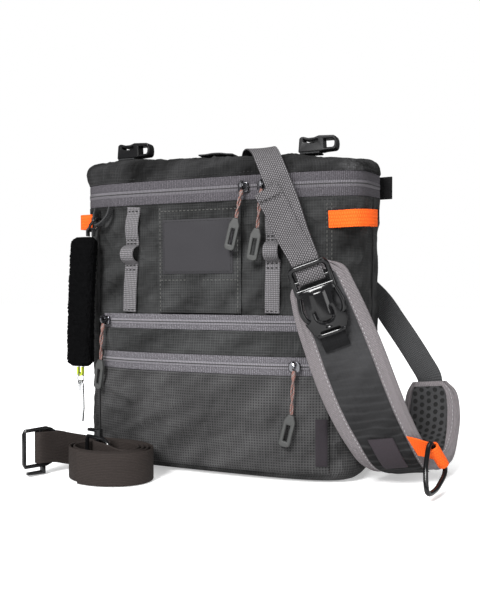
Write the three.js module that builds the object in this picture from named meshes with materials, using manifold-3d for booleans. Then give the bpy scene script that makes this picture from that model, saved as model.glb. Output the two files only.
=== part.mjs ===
// Soft box-shaped chest pack for angling, with its shoulder strap, waist belt, fly patch and nipper.
// Millimetres, +Z up, front towards -Y, origin in the middle of the flat base.
import * as THREE from "three";
import Module from "manifold-3d";

const wasm = await Module();
wasm.setup();

const V3 = THREE.Vector3;

// Bag shell
const GAP = 0.3;
const BAG_HALF_WIDTH = 124.5;
const BAG_HALF_DEPTH = 52;
const FRONT_POWER = 4;
const BACK_POWER = 7;
const WALL = 2;
const BASE_RADIUS = 14;
const TAPER = 2.5;
const OUTLINE_SEGMENTS = 40;
const BASE_ARC_STEPS = 4;
const BODY_LEVELS = [70, 150];

// Main zip, which runs round the front and both sides
const ZIP_FRONT_Z = 227.5;
const ZIP_RISE = 8;
const ZIP_HALF = 9.6;
const ZIP_COIL_HALF = 2.6;
const ZIP_TAPE = 1.4;
const ZIP_SUNK = 0.4;
const ZIP_END_ANGLE = 40.5;
const ZIP_STEPS = 29;

// Lid
const LID_TOP_FRONT = 256;
const LID_TOP_BACK = 259;
const LID_TILT = 0.036;
const LID_LEVEL_X = -30;
const LID_FULL = 2;
const LID_RADIUS = 11;
const LID_DOME = 2;
const LID_DOME_REACH = 22;
const LID_ARC_STEPS = 3;
const LID_PUCKER = 0.7;
const LID_PUCKERS = 11;

// Front pockets
const POCKET_HALF = 100;
const POCKET_SWELL = 9;
const POCKET_SEAT = 0.6;
const POCKET_WALL = 1.5;
const SWELL_FOOT = 12;
const SWELL_SPAN = 145;
const SWELL_POWER = 2.5;
const MID_ZIP_Z = 122.4;
const MID_ZIP_HALF = 6;
const LOW_ZIP_Z = 90;
const LOW_ZIP_HALF = 7;
const FRONT_ZIP_HALF_WIDTH = 95;
const FRONT_TAPE = 1;
const FRONT_COIL_HALF = 1.9;
const FRONT_COIL = 0.8;
const POCKET_FOOT = 8;
const CENTRE_PANEL = { left: -40.5, right: 32, low: 129.6, high: 216.4, thick: 1.2 };
const LABEL = { left: -36, right: 25.5, low: 161, high: 204.5, thick: 0.8 };
const CORNER_TAB = { left: 90.6, right: 98.8, low: 15, high: 50.6, thick: 1.2 };

// Webbing
const CHAIN_WIDTH = 12;
const CHAIN_THICK = 1.2;
const SIDE_LOOP_Z = { left: 207, right: 201 };
const SIDE_LOOP_WIDTH = 13;
const SIDE_LOOP_LIFT = 6.5;
const SIDE_LOOP_THICK = 1.3;
const SIDE_LOOP_FROM = { left: -41, right: -47.5 };
const SIDE_LOOP_TO = { left: 9, right: -8 };
const STRAP_WIDTH = 20;
const STRAP_THICK = 1.6;
const GEAR_LOOP_WIDTH = 8;

// Shoulder pad
const PAD_HALF_THICK = 5;
const PAD_STEPS = 29;
const PAD_EDGE = 0.86;
const PAD_EDGE_THICK = 0.4;
const PANEL_SHARE = 0.62;
const PANEL_THICK = 1;
const PANEL_SEAT = 0.45;
const MESH_SHARE = 0.66;

// Waist belt
const BELT_WIDTH = 25;
const BELT_THICK = 1.6;
const BELT_LIFT = 0.3;
const COIL_CENTRE = [-68, -85.9];
const COIL_HALF = [37.6, 26.6];
const COIL_PITCH = 0.083;
const COIL_SHRINK = 0.104;
const COIL_TURNS = 2.25;
const BELT_BAR = [-123, -99];
const INNER_BAR = [-76.6, -86.6];
const OUTER_LIFT = 9.4;
const INNER_LIFT = 3.6;
const BAR_TURN = 3.1;
const BELT_MIDDLE = BELT_LIFT + BELT_WIDTH / 2;

// Cords and pulls
const CORD_RADIUS = 1.1;
const CORD_SIDES = 8;
const CORD_STEPS = 6;
const PULL_LENGTH = 25;
const PULL_HALF = 4.4;
const PULL_THICK = 3.2;
const SLIDER_SEAT = 1.9;
const EYE_RADIUS = 3.4;
const EYE_RISE = 1.4;
const EYE_GAP = 0.6;

const group = new THREE.Group();
group.name = "chest_pack";

const palette = {
  charcoal: [0x2f3133, 0.85, 0],
  ripstop: [0x3f4143, 0.8, 0],
  black: [0x17181a, 0.9, 0],
  zipGrey: [0x6d6a70, 0.8, 0],
  zipDark: [0x3c3a3e, 0.6, 0],
  webGrey: [0x6e6d70, 0.85, 0],
  borderGrey: [0x7a7275, 0.8, 0],
  orange: [0xf0662a, 0.75, 0],
  beltBrown: [0x4e4743, 0.85, 0],
  gloss: [0x0d0d0e, 0.25, 0],
  metal: [0xb9bcc0, 0.25, 1],
  darkMetal: [0x2a2a2c, 0.35, 0.8],
  cordPink: [0x8d7a76, 0.85, 0],
  pullGrey: [0x4a4a4d, 0.5, 0],
  label: [0x3a373d, 0.7, 0],
  lime: [0xb5c53a, 0.7, 0],
};

function material(key) {
  const [color, roughness, metalness] = palette[key];
  return new THREE.MeshStandardMaterial({ color, roughness, metalness });
}

function add(name, geometry, key) {
  const mesh = new THREE.Mesh(geometry, material(key));
  mesh.name = name;
  group.add(mesh);
}

function geometryOf(positions, triangles) {
  let volume = 0;
  const at = (i) => new V3(positions[3 * i], positions[3 * i + 1], positions[3 * i + 2]);
  for (let i = 0; i < triangles.length; i += 3) {
    volume += at(triangles[i]).dot(at(triangles[i + 1]).cross(at(triangles[i + 2])));
  }
  const index = volume > 0 ? triangles : triangles.slice().reverse();
  const geometry = new THREE.BufferGeometry();
  geometry.setAttribute("position", new THREE.Float32BufferAttribute(positions, 3));
  geometry.setIndex(index);
  geometry.computeVertexNormals();
  return geometry;
}

// A solid through rings of equal length, with its two ends closed by a strip from side to side.
function loft(rings, closed = false) {
  const m = rings[0].length;
  const positions = rings.flat().flatMap((p) => [p.x, p.y, p.z]);
  const triangles = [];
  const spans = closed ? rings.length : rings.length - 1;
  for (let i = 0; i < spans; i++) {
    const a = i * m;
    const b = ((i + 1) % rings.length) * m;
    for (let k = 0; k < m; k++) {
      const l = (k + 1) % m;
      triangles.push(a + k, a + l, b + l, a + k, b + l, b + k);
    }
  }
  const cap = (base, flip) => {
    for (let k = 0; k < m / 2 - 1; k++) {
      const quad = [base + k, base + k + 1, base + m - 2 - k, base + m - 1 - k];
      const order = flip ? [0, 2, 1, 0, 3, 2] : [0, 1, 2, 0, 2, 3];
      order.forEach((n) => triangles.push(quad[n]));
    }
  };
  if (!closed) {
    cap(0, true);
    cap((rings.length - 1) * m, false);
  }
  return geometryOf(positions, triangles);
}

// A flat strap along points; its width lies along the part of each reference that is square to the path.
function strap(points, references, width, thick) {
  const rings = points.map((p, i) => {
    const next = points[Math.min(i + 1, points.length - 1)];
    const along = next.clone().sub(points[Math.max(i - 1, 0)]).normalize();
    const ref = Array.isArray(references) ? references[i] : references;
    const across = ref.clone().addScaledVector(along, -ref.dot(along)).normalize();
    const normal = along.clone().cross(across);
    const corner = (w, t) => {
      const side = p.clone().addScaledVector(across, (w * width) / 2);
      return side.addScaledVector(normal, (t * thick) / 2);
    };
    return [corner(-1, -1), corner(1, -1), corner(1, 1), corner(-1, 1)];
  });
  return loft(rings);
}

function smooth(points, count) {
  const curve = new THREE.CatmullRomCurve3(points, false, "centripetal");
  return curve.getSpacedPoints(count);
}

function cord(points, steps) {
  const section = new THREE.Shape();
  for (let k = 0; k < CORD_SIDES; k++) {
    const angle = (2 * Math.PI * k) / CORD_SIDES;
    const x = CORD_RADIUS * Math.cos(angle);
    const y = CORD_RADIUS * Math.sin(angle);
    if (k === 0) section.moveTo(x, y);
    else section.lineTo(x, y);
  }
  section.closePath();
  const extrudePath = new THREE.CatmullRomCurve3(points, false, "centripetal");
  return new THREE.ExtrudeGeometry(section, { steps, extrudePath });
}

// A flat strap whose width keeps one direction, so that it can run askew
function skewStrap(points, across, width, thick) {
  const rings = points.map((p, i) => {
    const next = points[Math.min(i + 1, points.length - 1)];
    const along = next.clone().sub(points[Math.max(i - 1, 0)]);
    const normal = along.cross(across).normalize();
    const corner = (w, t) => {
      const side = p.clone().addScaledVector(across, (w * width) / 2);
      return side.addScaledVector(normal, (t * thick) / 2);
    };
    return [corner(-1, -1), corner(1, -1), corner(1, 1), corner(-1, 1)];
  });
  return loft(rings);
}

// A closed ring of round wire through points
function wireRing(points, radius, steps, sides) {
  const curve = new THREE.CatmullRomCurve3(points, true, "centripetal");
  const frames = curve.computeFrenetFrames(steps, true);
  const rings = [];
  for (let i = 0; i < steps; i++) {
    const p = curve.getPointAt(i / steps);
    const ring = [];
    for (let k = 0; k < sides; k++) {
      const angle = (2 * Math.PI * k) / sides;
      const offset = frames.normals[i].clone().multiplyScalar(radius * Math.cos(angle));
      offset.addScaledVector(frames.binormals[i], radius * Math.sin(angle));
      ring.push(p.clone().add(offset));
    }
    rings.push(ring);
  }
  return loft(rings, true);
}

function plate(drawn, depth, bevel, curveSegments = 6) {
  const points = drawn.extractPoints(curveSegments);
  const turned = (loop, clockwise) => {
    const open = loop.filter((p, i) => p.distanceTo(loop[(i + 1) % loop.length]) > 1e-6);
    return THREE.ShapeUtils.isClockWise(open) === clockwise ? open : open.reverse();
  };
  const shape = new THREE.Shape(turned(points.shape, false));
  shape.holes = points.holes.map((hole) => new THREE.Path(turned(hole, true)));
  const geometry = new THREE.ExtrudeGeometry(shape, {
    depth: depth - 2 * bevel,
    bevelEnabled: bevel > 0,
    bevelThickness: bevel,
    bevelSize: bevel,
    bevelOffset: -bevel,
    bevelSegments: 1,
    curveSegments,
  });
  geometry.translate(0, 0, bevel - depth / 2);
  return geometry;
}

function place(geometry, origin, xAxis, yAxis) {
  const x = xAxis.clone().normalize();
  const y = yAxis.clone().addScaledVector(x, -yAxis.dot(x)).normalize();
  const z = x.clone().cross(y);
  const matrix = new THREE.Matrix4().makeBasis(x, y, z).setPosition(origin);
  return geometry.clone().applyMatrix4(matrix);
}

function toManifold(geometry) {
  const source = geometry.index ? geometry.toNonIndexed() : geometry;
  const array = source.getAttribute("position").array;
  const seen = new Map();
  const vertProperties = [];
  const triVerts = [];
  for (let i = 0; i < array.length; i += 3) {
    const key = [0, 1, 2].map((n) => Math.round(array[i + n] * 1e4)).join(",");
    if (!seen.has(key)) {
      seen.set(key, vertProperties.length / 3);
      vertProperties.push(array[i], array[i + 1], array[i + 2]);
    }
    triVerts.push(seen.get(key));
  }
  const kept = [];
  for (let i = 0; i < triVerts.length; i += 3) {
    const [a, b, c] = triVerts.slice(i, i + 3);
    if (a !== b && b !== c && c !== a) kept.push(a, b, c);
  }
  const mesh = new wasm.Mesh({
    numProp: 3,
    vertProperties: new Float32Array(vertProperties),
    triVerts: new Uint32Array(kept),
  });
  return new wasm.Manifold(mesh);
}

function fromManifold(solid) {
  const mesh = solid.getMesh();
  const geometry = new THREE.BufferGeometry();
  geometry.setAttribute("position", new THREE.Float32BufferAttribute(Array.from(mesh.vertProperties), 3));
  geometry.setIndex(Array.from(mesh.triVerts));
  geometry.computeVertexNormals();
  return geometry;
}

function joined(...geometries) {
  return fromManifold(geometries.map(toManifold).reduce((sum, next) => sum.add(next)));
}

// Plan outline of the bag at an angle in degrees: 0 right, 90 back, -90 front.
function outline(degrees, inset) {
  const angle = THREE.MathUtils.degToRad(degrees);
  const c = Math.cos(angle);
  const s = Math.sin(angle);
  const power = s < 0 ? FRONT_POWER : BACK_POWER;
  const k = (Math.abs(c) ** power + Math.abs(s) ** power) ** (-1 / power);
  return [(BAG_HALF_WIDTH - inset) * c * k, (BAG_HALF_DEPTH - inset) * s * k];
}

function taperInset(z) {
  return TAPER * Math.max(0, 1 - z / ZIP_FRONT_Z);
}

function wallInset(z) {
  const under = Math.max(0, BASE_RADIUS - z);
  return taperInset(z) + BASE_RADIUS - Math.sqrt(BASE_RADIUS ** 2 - under ** 2);
}

function zipZ(y) {
  return ZIP_FRONT_Z + (ZIP_RISE * (y + BAG_HALF_DEPTH)) / (2 * BAG_HALF_DEPTH);
}

function backShare(degrees) {
  const fromBack = Math.abs(((degrees + 90) % 360) - 180);
  return fromBack < 89 - ZIP_END_ANGLE ? 1 : 0;
}

const angles = Array.from({ length: OUTLINE_SEGMENTS }, (_, i) => (360 * (i + 0.5)) / OUTLINE_SEGMENTS);

function ringAt(inset, heightOf) {
  return angles.map((a) => {
    const [x, y] = outline(a, inset);
    return new V3(x, y, heightOf(a, x, y));
  });
}

function bodyShell() {
  const rim = (a, x, y) => zipZ(y) - (backShare(a) ? GAP / 2 : ZIP_HALF + GAP / 2);
  const side = (extra, radius, floor) => {
    const rings = [];
    for (let i = 0; i <= BASE_ARC_STEPS; i++) {
      const phi = (Math.PI / 2) * (i / BASE_ARC_STEPS);
      const z = floor + radius * (1 - Math.cos(phi));
      rings.push(ringAt(extra + taperInset(z) + radius * (1 - Math.sin(phi)), () => z));
    }
    BODY_LEVELS.forEach((z) => rings.push(ringAt(extra + taperInset(z), () => z)));
    rings.push(ringAt(extra, rim));
    return rings;
  };
  const outer = side(0, BASE_RADIUS, 0);
  const inner = side(WALL, BASE_RADIUS - WALL, WALL);
  return loft([...outer, ...inner.reverse()]);
}

// The lid's top rises to the back and sinks towards the right, less so at the back
function lidTop(x, y) {
  const rise = ((LID_TOP_BACK - LID_TOP_FRONT) * (y + BAG_HALF_DEPTH)) / (2 * BAG_HALF_DEPTH);
  const tilt = LID_TILT * (1 - 0.7 * THREE.MathUtils.smoothstep(y, -15, 30));
  return LID_TOP_FRONT + rise - tilt * (x - LID_LEVEL_X);
}

// The lid's left front is fuller than the wall below it
function lidFull(a) {
  return LID_FULL * Math.max(0, Math.cos(((a - 205) * Math.PI) / 180)) ** 10;
}

function lidShell() {
  const rim = (a, x, y) => zipZ(y) + (backShare(a) ? GAP / 2 : ZIP_HALF + GAP / 2);
  const pucker = (a) => LID_PUCKER * Math.sin((LID_PUCKERS * a * Math.PI) / 180);
  const side = (extra, radius, drop) => {
    const rings = [ringAt(extra, rim)];
    for (let i = 0; i <= LID_ARC_STEPS; i++) {
      const phi = (Math.PI / 2) * (i / LID_ARC_STEPS);
      const inset = extra + radius * (1 - Math.cos(phi));
      rings.push(
        angles.map((a) => {
          const full = extra ? 0 : lidFull(a) * Math.cos(phi);
          const [x, y] = outline(a, inset + pucker(a) * Math.sin(2 * phi) - full);
          const ripple = pucker(a) * Math.sin(phi) * 0.6;
          return new V3(x, y, lidTop(x, y) - drop - radius * (1 - Math.sin(phi)) + ripple);
        }),
      );
    }
    rings.push(ringAt(extra + radius + LID_DOME_REACH, (a, x, y) => lidTop(x, y) - drop + LID_DOME));
    return rings;
  };
  const outer = side(0, LID_RADIUS, 0).reverse();
  const inner = side(WALL, LID_RADIUS - WALL, WALL);
  return loft([...outer, ...inner]);
}

// A band of the main zip between two heights above its centre line
function zipBand(low, high, inset, thick) {
  const rings = [];
  for (let i = 0; i <= ZIP_STEPS; i++) {
    const a = -180 - ZIP_END_ANGLE + ((180 + 2 * ZIP_END_ANGLE) * i) / ZIP_STEPS;
    const at = (extra, up) => {
      const [x, y] = outline(a, inset + extra);
      return new V3(x, y, zipZ(y) + up);
    };
    rings.push([at(0, low), at(0, high), at(thick, high), at(thick, low)]);
  }
  return loft(rings);
}

function frontY(x, z) {
  const inset = wallInset(z);
  const share = Math.min(Math.abs(x) / (BAG_HALF_WIDTH - inset), 0.999);
  return -(BAG_HALF_DEPTH - inset) * (1 - share ** FRONT_POWER) ** (1 / FRONT_POWER);
}

function frontNormal(x, z) {
  const slope = frontY(x + 0.5, z) - frontY(x - 0.5, z);
  return new V3(slope, -1, 0).normalize();
}

function frontPoint(x, z, off) {
  return new V3(x, frontY(x, z), z).addScaledVector(frontNormal(x, z), off);
}

// How far the filled pockets stand off the bag front
function swell(x, z) {
  const across = 1 - Math.min(1, Math.abs(x) / POCKET_HALF) ** SWELL_POWER;
  const up = Math.sin(Math.PI * THREE.MathUtils.clamp((z + SWELL_FOOT) / SWELL_SPAN, 0, 1));
  return POCKET_SEAT + POCKET_SWELL * across * up;
}

// A sheet that lies on the bag front between two x and two z, standing off by a distance
function frontSheet(box, offset, nx, nz) {
  const rings = [];
  for (let i = 0; i <= nx; i++) {
    const x = box.left + ((box.right - box.left) * i) / nx;
    const outer = [];
    const inner = [];
    for (let k = 0; k <= nz; k++) {
      const z = box.low + ((box.high - box.low) * k) / nz;
      outer.push(frontPoint(x, z, offset(x, z) + box.thick));
      inner.push(frontPoint(x, z, offset(x, z)));
    }
    rings.push([...outer, ...inner.reverse()]);
  }
  return loft(rings);
}

function frontZip(name, z, half, nx) {
  const wide = { left: -FRONT_ZIP_HALF_WIDTH, right: FRONT_ZIP_HALF_WIDTH };
  const tape = { ...wide, low: z - half, high: z + half, thick: FRONT_TAPE };
  const coil = { ...wide, low: z - FRONT_COIL_HALF, high: z + FRONT_COIL_HALF, thick: FRONT_COIL };
  add(`${name}_tape`, frontSheet(tape, (x, h) => swell(x, h), nx, 2), "zipGrey");
  add(`${name}_coil`, frontSheet(coil, (x, h) => swell(x, h) + FRONT_TAPE + GAP, nx, 1), "zipDark");
}

add("main_body", bodyShell(), "charcoal");
add("lid", lidShell(), "charcoal");
add("main_zip_lower", zipBand(-ZIP_HALF + GAP / 2, -ZIP_COIL_HALF - GAP, ZIP_SUNK, ZIP_TAPE), "zipGrey");
add("main_zip_coil", zipBand(-ZIP_COIL_HALF, ZIP_COIL_HALF, ZIP_SUNK, ZIP_TAPE), "zipDark");
add("main_zip_upper", zipBand(ZIP_COIL_HALF + GAP, ZIP_HALF - GAP / 2, ZIP_SUNK, ZIP_TAPE), "zipGrey");

const lowPocket = {
  left: -POCKET_HALF,
  right: POCKET_HALF,
  low: POCKET_FOOT,
  high: LOW_ZIP_Z - LOW_ZIP_HALF - GAP,
  thick: POCKET_WALL,
};
const strip = {
  left: -POCKET_HALF,
  right: POCKET_HALF,
  low: LOW_ZIP_Z + LOW_ZIP_HALF + GAP,
  high: MID_ZIP_Z - MID_ZIP_HALF - GAP,
  thick: POCKET_WALL,
};
add("lower_pocket", frontSheet(lowPocket, swell, 18, 5), "ripstop");
add("pocket_strip", frontSheet(strip, swell, 18, 2), "charcoal");
frontZip("mid_zip", MID_ZIP_Z, MID_ZIP_HALF, 18);
frontZip("low_zip", LOW_ZIP_Z, LOW_ZIP_HALF, 18);
add("centre_panel", frontSheet(CENTRE_PANEL, () => GAP, 8, 2), "charcoal");
add("label_patch", frontSheet(LABEL, () => 2 * GAP + CENTRE_PANEL.thick, 6, 1), "label");
add("corner_tab", frontSheet(CORNER_TAB, (x, z) => swell(x, z) + POCKET_WALL + GAP, 3, 4), "pullGrey");

// Daisy chains: webbing sewn down the front, standing off in loops between the bar tacks
const chainRows = [
  { z: 216.4, lift: 0 },
  { z: 211, lift: 0 },
  { z: 206, lift: 1.6 },
  { z: 199, lift: 2.2 },
  { z: 193, lift: 1.2 },
  { z: 189.5, lift: 0 },
  { z: 185, lift: 0 },
  { z: 183.6, lift: 3.6 },
  { z: 181.2, lift: 7 },
  { z: 177.6, lift: 8.2 },
  { z: 173.6, lift: 6.6 },
  { z: 171.4, lift: 3.2 },
  { z: 170.4, lift: 0.2 },
  { z: 164, lift: 0 },
  { z: 150, lift: 0.5 },
  { z: 130, lift: 0 },
];

function chain(topX, lowX) {
  const high = chainRows[0].z;
  const low = chainRows[chainRows.length - 1].z;
  const points = chainRows.map(({ z, lift }) => {
    const x = topX + ((lowX - topX) * (high - z)) / (high - low);
    return frontPoint(x, z, GAP + CHAIN_THICK / 2 + lift);
  });
  return strap(points, new V3(1, 0, 0), CHAIN_WIDTH, CHAIN_THICK);
}

add("chain_left", chain(-63.6, -68.6), "webGrey");
add("chain_right", chain(58.8, 57.4), "webGrey");

// Narrow hanging loop at the upper left, its flat side turned inwards
const gearRows = [
  { x: -84.4, z: 216.6, off: 0.4 },
  { x: -86.5, z: 210, off: 1.6 },
  { x: -91, z: 205, off: 3.4 },
  { x: -97, z: 202.6, off: 3.8 },
  { x: -101, z: 204.6, off: 3.4 },
  { x: -101.6, z: 210, off: 1.6 },
  { x: -100.4, z: 216.6, off: 0.8 },
];
const gearPath = smooth(
  gearRows.map(({ x, z, off }) => new V3(x, frontY(x, z) - GAP - GEAR_LOOP_WIDTH / 2 - off, z)),
  14,
);
add("gear_loop", strap(gearPath, new V3(0, 1, 0), GEAR_LOOP_WIDTH, CHAIN_THICK), "webGrey");

// Bright loops round the two front corners, and tabs at the ends of the main zip
for (const [side, sign] of [["left", -1], ["right", 1]]) {
  const steps = 16;
  const points = [];
  for (let i = 0; i <= steps; i++) {
    const u = i / steps;
    const from = SIDE_LOOP_FROM[side];
    const a = from + (SIDE_LOOP_TO[side] - from) * u;
    const level = SIDE_LOOP_Z[side];
    const lift = SIDE_LOOP_LIFT * THREE.MathUtils.smoothstep(Math.sin(Math.PI * u), 0.12, 0.75);
    const [x, y] = outline(a, taperInset(level) - GAP - SIDE_LOOP_THICK / 2 - lift);
    points.push(new V3(sign * x, y, level + 3 * u));
  }
  add(`side_loop_${side}`, strap(points, new V3(0, 0, 1), SIDE_LOOP_WIDTH, SIDE_LOOP_THICK), "orange");
  const tabMiddle = zipZ(40);
  const tab = [117.2, 121.6, 126.6, 131.6].map((x, i) => new V3(sign * x, 45.2 - 0.7 * i, tabMiddle));
  add(`zip_tab_${side}`, strap(tab, new V3(0, 0, 1), 19, 2.4), "black");
}

// Zip sliders, each with an eye for its cord
function sliderSolid() {
  const body = new THREE.Shape();
  body.moveTo(-4.5, -2.4);
  body.lineTo(-3, -3.8);
  body.lineTo(3, -3.8);
  body.lineTo(4.5, -2.4);
  body.lineTo(4.5, 2.4);
  body.lineTo(3, 3.8);
  body.lineTo(-3, 3.8);
  body.lineTo(-4.5, 2.4);
  body.closePath();
  const eye = new THREE.Shape();
  eye.absarc(0, 0, EYE_RADIUS, 0, 2 * Math.PI, false);
  const hole = new THREE.Path();
  hole.absarc(0, 0, 1.9, 0, 2 * Math.PI, true);
  eye.holes.push(hole);
  const ring = plate(eye, 1.6, 0, 5);
  ring.rotateY(Math.PI / 2);
  ring.translate(0, -EYE_RISE, EYE_RADIUS);
  return joined(plate(body, 2.6, 0.5), ring);
}

function sliderAt(name, point, normal, along) {
  const y = normal.clone().cross(along);
  add(name, place(sliderSolid(), point, along, y), "darkMetal");
}

// Moulded pull with a long slot, hanging from the end of its cord
function pullSolid() {
  const shape = new THREE.Shape();
  shape.moveTo(-2.2, 0);
  shape.lineTo(2.2, 0);
  shape.lineTo(PULL_HALF, -5);
  shape.lineTo(PULL_HALF, -PULL_LENGTH + 3);
  shape.quadraticCurveTo(PULL_HALF, -PULL_LENGTH, 0, -PULL_LENGTH);
  shape.quadraticCurveTo(-PULL_HALF, -PULL_LENGTH, -PULL_HALF, -PULL_LENGTH + 3);
  shape.lineTo(-PULL_HALF, -5);
  shape.closePath();
  const slot = new THREE.Path();
  slot.moveTo(-1.5, -8);
  slot.lineTo(-1.5, -PULL_LENGTH + 4.5);
  slot.lineTo(1.5, -PULL_LENGTH + 4.5);
  slot.lineTo(1.5, -8);
  slot.closePath();
  shape.holes.push(slot);
  return plate(shape, PULL_THICK, 0.6, 4);
}

const pullRows = [
  { name: "main_left", zip: "main", x: 34.5, topX: 31.6, topZ: 202.8, lowX: 25.7, lowZ: 179.2, off: 8 },
  { name: "main_right", zip: "main", x: 50.5, topX: 48, topZ: 194.9, lowX: 43.6, lowZ: 172.7, off: 6 },
  { name: "mid", zip: "mid", x: -90, topX: -91.4, topZ: 89.3, lowX: -95, lowZ: 65.9, off: 6.4 },
  { name: "low", zip: "low", x: 76.3, topX: 74.4, topZ: 54.4, lowX: 68.6, lowZ: 30.4, off: 4.4 },
];

function zipFace(row) {
  if (row.zip === "main") return { z: ZIP_FRONT_Z, off: -ZIP_SUNK };
  const z = row.zip === "mid" ? MID_ZIP_Z : LOW_ZIP_Z;
  return { z, off: swell(row.x, z) + FRONT_TAPE + GAP + FRONT_COIL };
}

for (const row of pullRows) {
  const face = zipFace(row);
  const normal = frontNormal(row.x, face.z);
  const along = new V3(0, 0, 1).cross(normal).negate();
  const seat = frontPoint(row.x, face.z, face.off + SLIDER_SEAT);
  sliderAt(`slider_${row.name}`, seat, normal, along);
  const stand = (x, z) => (z < 130 ? swell(x, z) + POCKET_WALL : 2 * GAP + CENTRE_PANEL.thick) + row.off;
  const top = frontPoint(row.topX, row.topZ, stand(row.topX, row.topZ));
  const low = frontPoint(row.lowX, row.lowZ, stand(row.lowX, row.lowZ));
  const down = top.clone().sub(low).normalize();
  const out = frontNormal(row.topX, row.topZ);
  const pull = place(pullSolid(), top, down.clone().cross(out), down);
  add(`pull_${row.name}`, pull, "pullGrey");
  const eyeZ = face.z + EYE_RISE - EYE_RADIUS - EYE_GAP;
  const eye = frontPoint(row.x, eyeZ, face.off + SLIDER_SEAT + EYE_RADIUS);
  const end = top.clone().addScaledVector(down, GAP);
  const middle = eye.clone().lerp(end, 0.5).addScaledVector(out, 0.8);
  const points = [eye, eye.clone().lerp(middle, 0.5), middle, middle.clone().lerp(end, 0.5), end];
  add(`cord_${row.name}`, cord(points, CORD_STEPS), "cordPink");
}

// Clips on the lid: a block with a scooped top and an arched slot, and an open D loop at its side
function clipSolid() {
  const shape = new THREE.Shape();
  shape.moveTo(-16, 0.6);
  shape.lineTo(-15.2, 11);
  shape.quadraticCurveTo(-14.6, 12.6, -12, 12.6);
  shape.quadraticCurveTo(-5.5, 9.8, 1, 12.8);
  shape.lineTo(3.4, 12.6);
  shape.lineTo(13, 12.2);
  shape.quadraticCurveTo(16, 11.4, 16, 6);
  shape.quadraticCurveTo(16, 1, 13.4, 0.8);
  shape.lineTo(6, 0.4);
  shape.lineTo(4, 0);
  shape.lineTo(-15.4, 0);
  shape.closePath();
  const arch = new THREE.Path();
  arch.moveTo(-11.6, 8.9);
  arch.quadraticCurveTo(-5.6, 5.4, 0, 8.9);
  arch.lineTo(0, 10);
  arch.quadraticCurveTo(-5.6, 7.4, -11.6, 10.2);
  arch.closePath();
  const loop = new THREE.Path();
  loop.moveTo(5, 9.7);
  loop.lineTo(5.4, 2.8);
  loop.lineTo(12, 2.9);
  loop.quadraticCurveTo(13.8, 3, 13.8, 6.4);
  loop.quadraticCurveTo(13.8, 9.4, 12, 9.6);
  loop.closePath();
  shape.holes.push(arch, loop);
  return plate(shape, 10, 0.7, 3);
}

for (const [side, x, y, over] of [["left", -79, -22, 2], ["right", 83, -11, 3.5]]) {
  const seat = lidTop(x, y) + over;
  const tab = [-14, -6, 2].map((dx) => new V3(x + dx, y, seat + GAP + 0.6));
  add(`clip_tab_${side}`, strap(tab, new V3(0, 1, 0), 13, 1.2), "black");
  const clip = place(clipSolid(), new V3(x, y, seat + 2 * GAP + 1.2), new V3(1, 0, 0), new V3(0, 0, 1));
  add(`lid_clip_${side}`, clip, "gloss");
}
const lidLoop = [
  { x: -14, up: 0 },
  { x: -8, up: 0.2 },
  { x: -2, up: 0.9 },
  { x: 5, up: 1 },
  { x: 11, up: 0.3 },
  { x: 16, up: 0 },
];
const lidLoopPath = lidLoop.map(({ x, up }) => new V3(x, -24, lidTop(x, -24) + LID_DOME + GAP + 0.8 + up));
add("lid_loop", strap(lidLoopPath, new V3(0, 1, 0), 16, 1.2), "black");

// Fly patch, hung from the gear loop by a ring, and the nipper under it
const PATCH = { x: -112.2, y: -58, low: 83.6, high: 192.6, halfWidth: 11.8, halfThick: 4.6 };
const patchSection = [
  [-1, -0.5],
  [-0.8, -1],
  [0.8, -1],
  [1, -0.5],
  [1, 0.5],
  [0.8, 1],
  [-0.8, 1],
  [-1, 0.5],
];
function patchSolid() {
  const rows = [0, 0.03, 0.1, 0.3, 0.5, 0.7, 0.9, 0.97, 1];
  const rings = rows.map((u) => {
    const z = PATCH.low + (PATCH.high - PATCH.low) * u;
    const end = Math.min(1, 0.62 + 12 * Math.min(u, 1 - u));
    const lean = 3.2 * u * u;
    return patchSection.map(([w, t]) => {
      const x = PATCH.x + lean + w * PATCH.halfWidth * end;
      return new V3(x, PATCH.y + lean * 0.6 + t * PATCH.halfThick * end, z);
    });
  });
  return loft(rings);
}
add("fly_patch", patchSolid(), "black");

function uLoop(middle, radius, leg, sign) {
  const points = [new V3(-radius, 0, -sign * leg)];
  for (let i = 0; i <= 8; i++) {
    const angle = Math.PI * (1 - i / 8);
    points.push(new V3(radius * Math.cos(angle), 0, sign * radius * Math.sin(angle)));
  }
  points.push(new V3(radius, 0, -sign * leg));
  return points.map((p) => p.add(middle));
}
const hookX = -100.6;
const hookY = frontY(hookX, 203) - GAP - GEAR_LOOP_WIDTH / 2 - 4;
const hookRing = [
  { y: -6, z: 203 },
  { y: -4.6, z: 207.2 },
  { y: 0, z: 208.2 },
  { y: 4.6, z: 207.2 },
  { y: 6, z: 203 },
  { y: 4, z: 198.8 },
  { y: 0, z: 198 },
  { y: -4, z: 198.8 },
];
const hookRingPoints = hookRing.map(({ y, z }) => new V3(hookX - (203 - z) * 0.8, hookY + y, z));
add("patch_ring", wireRing(hookRingPoints, 1.1, 16, 6), "gloss");
const patchLoop = uLoop(new V3(-104.8, hookY, 197.7), 2.7, 4.2, 1);
add("patch_loop", strap(patchLoop, new V3(0, 1, 0), 5, 1), "black");

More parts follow.
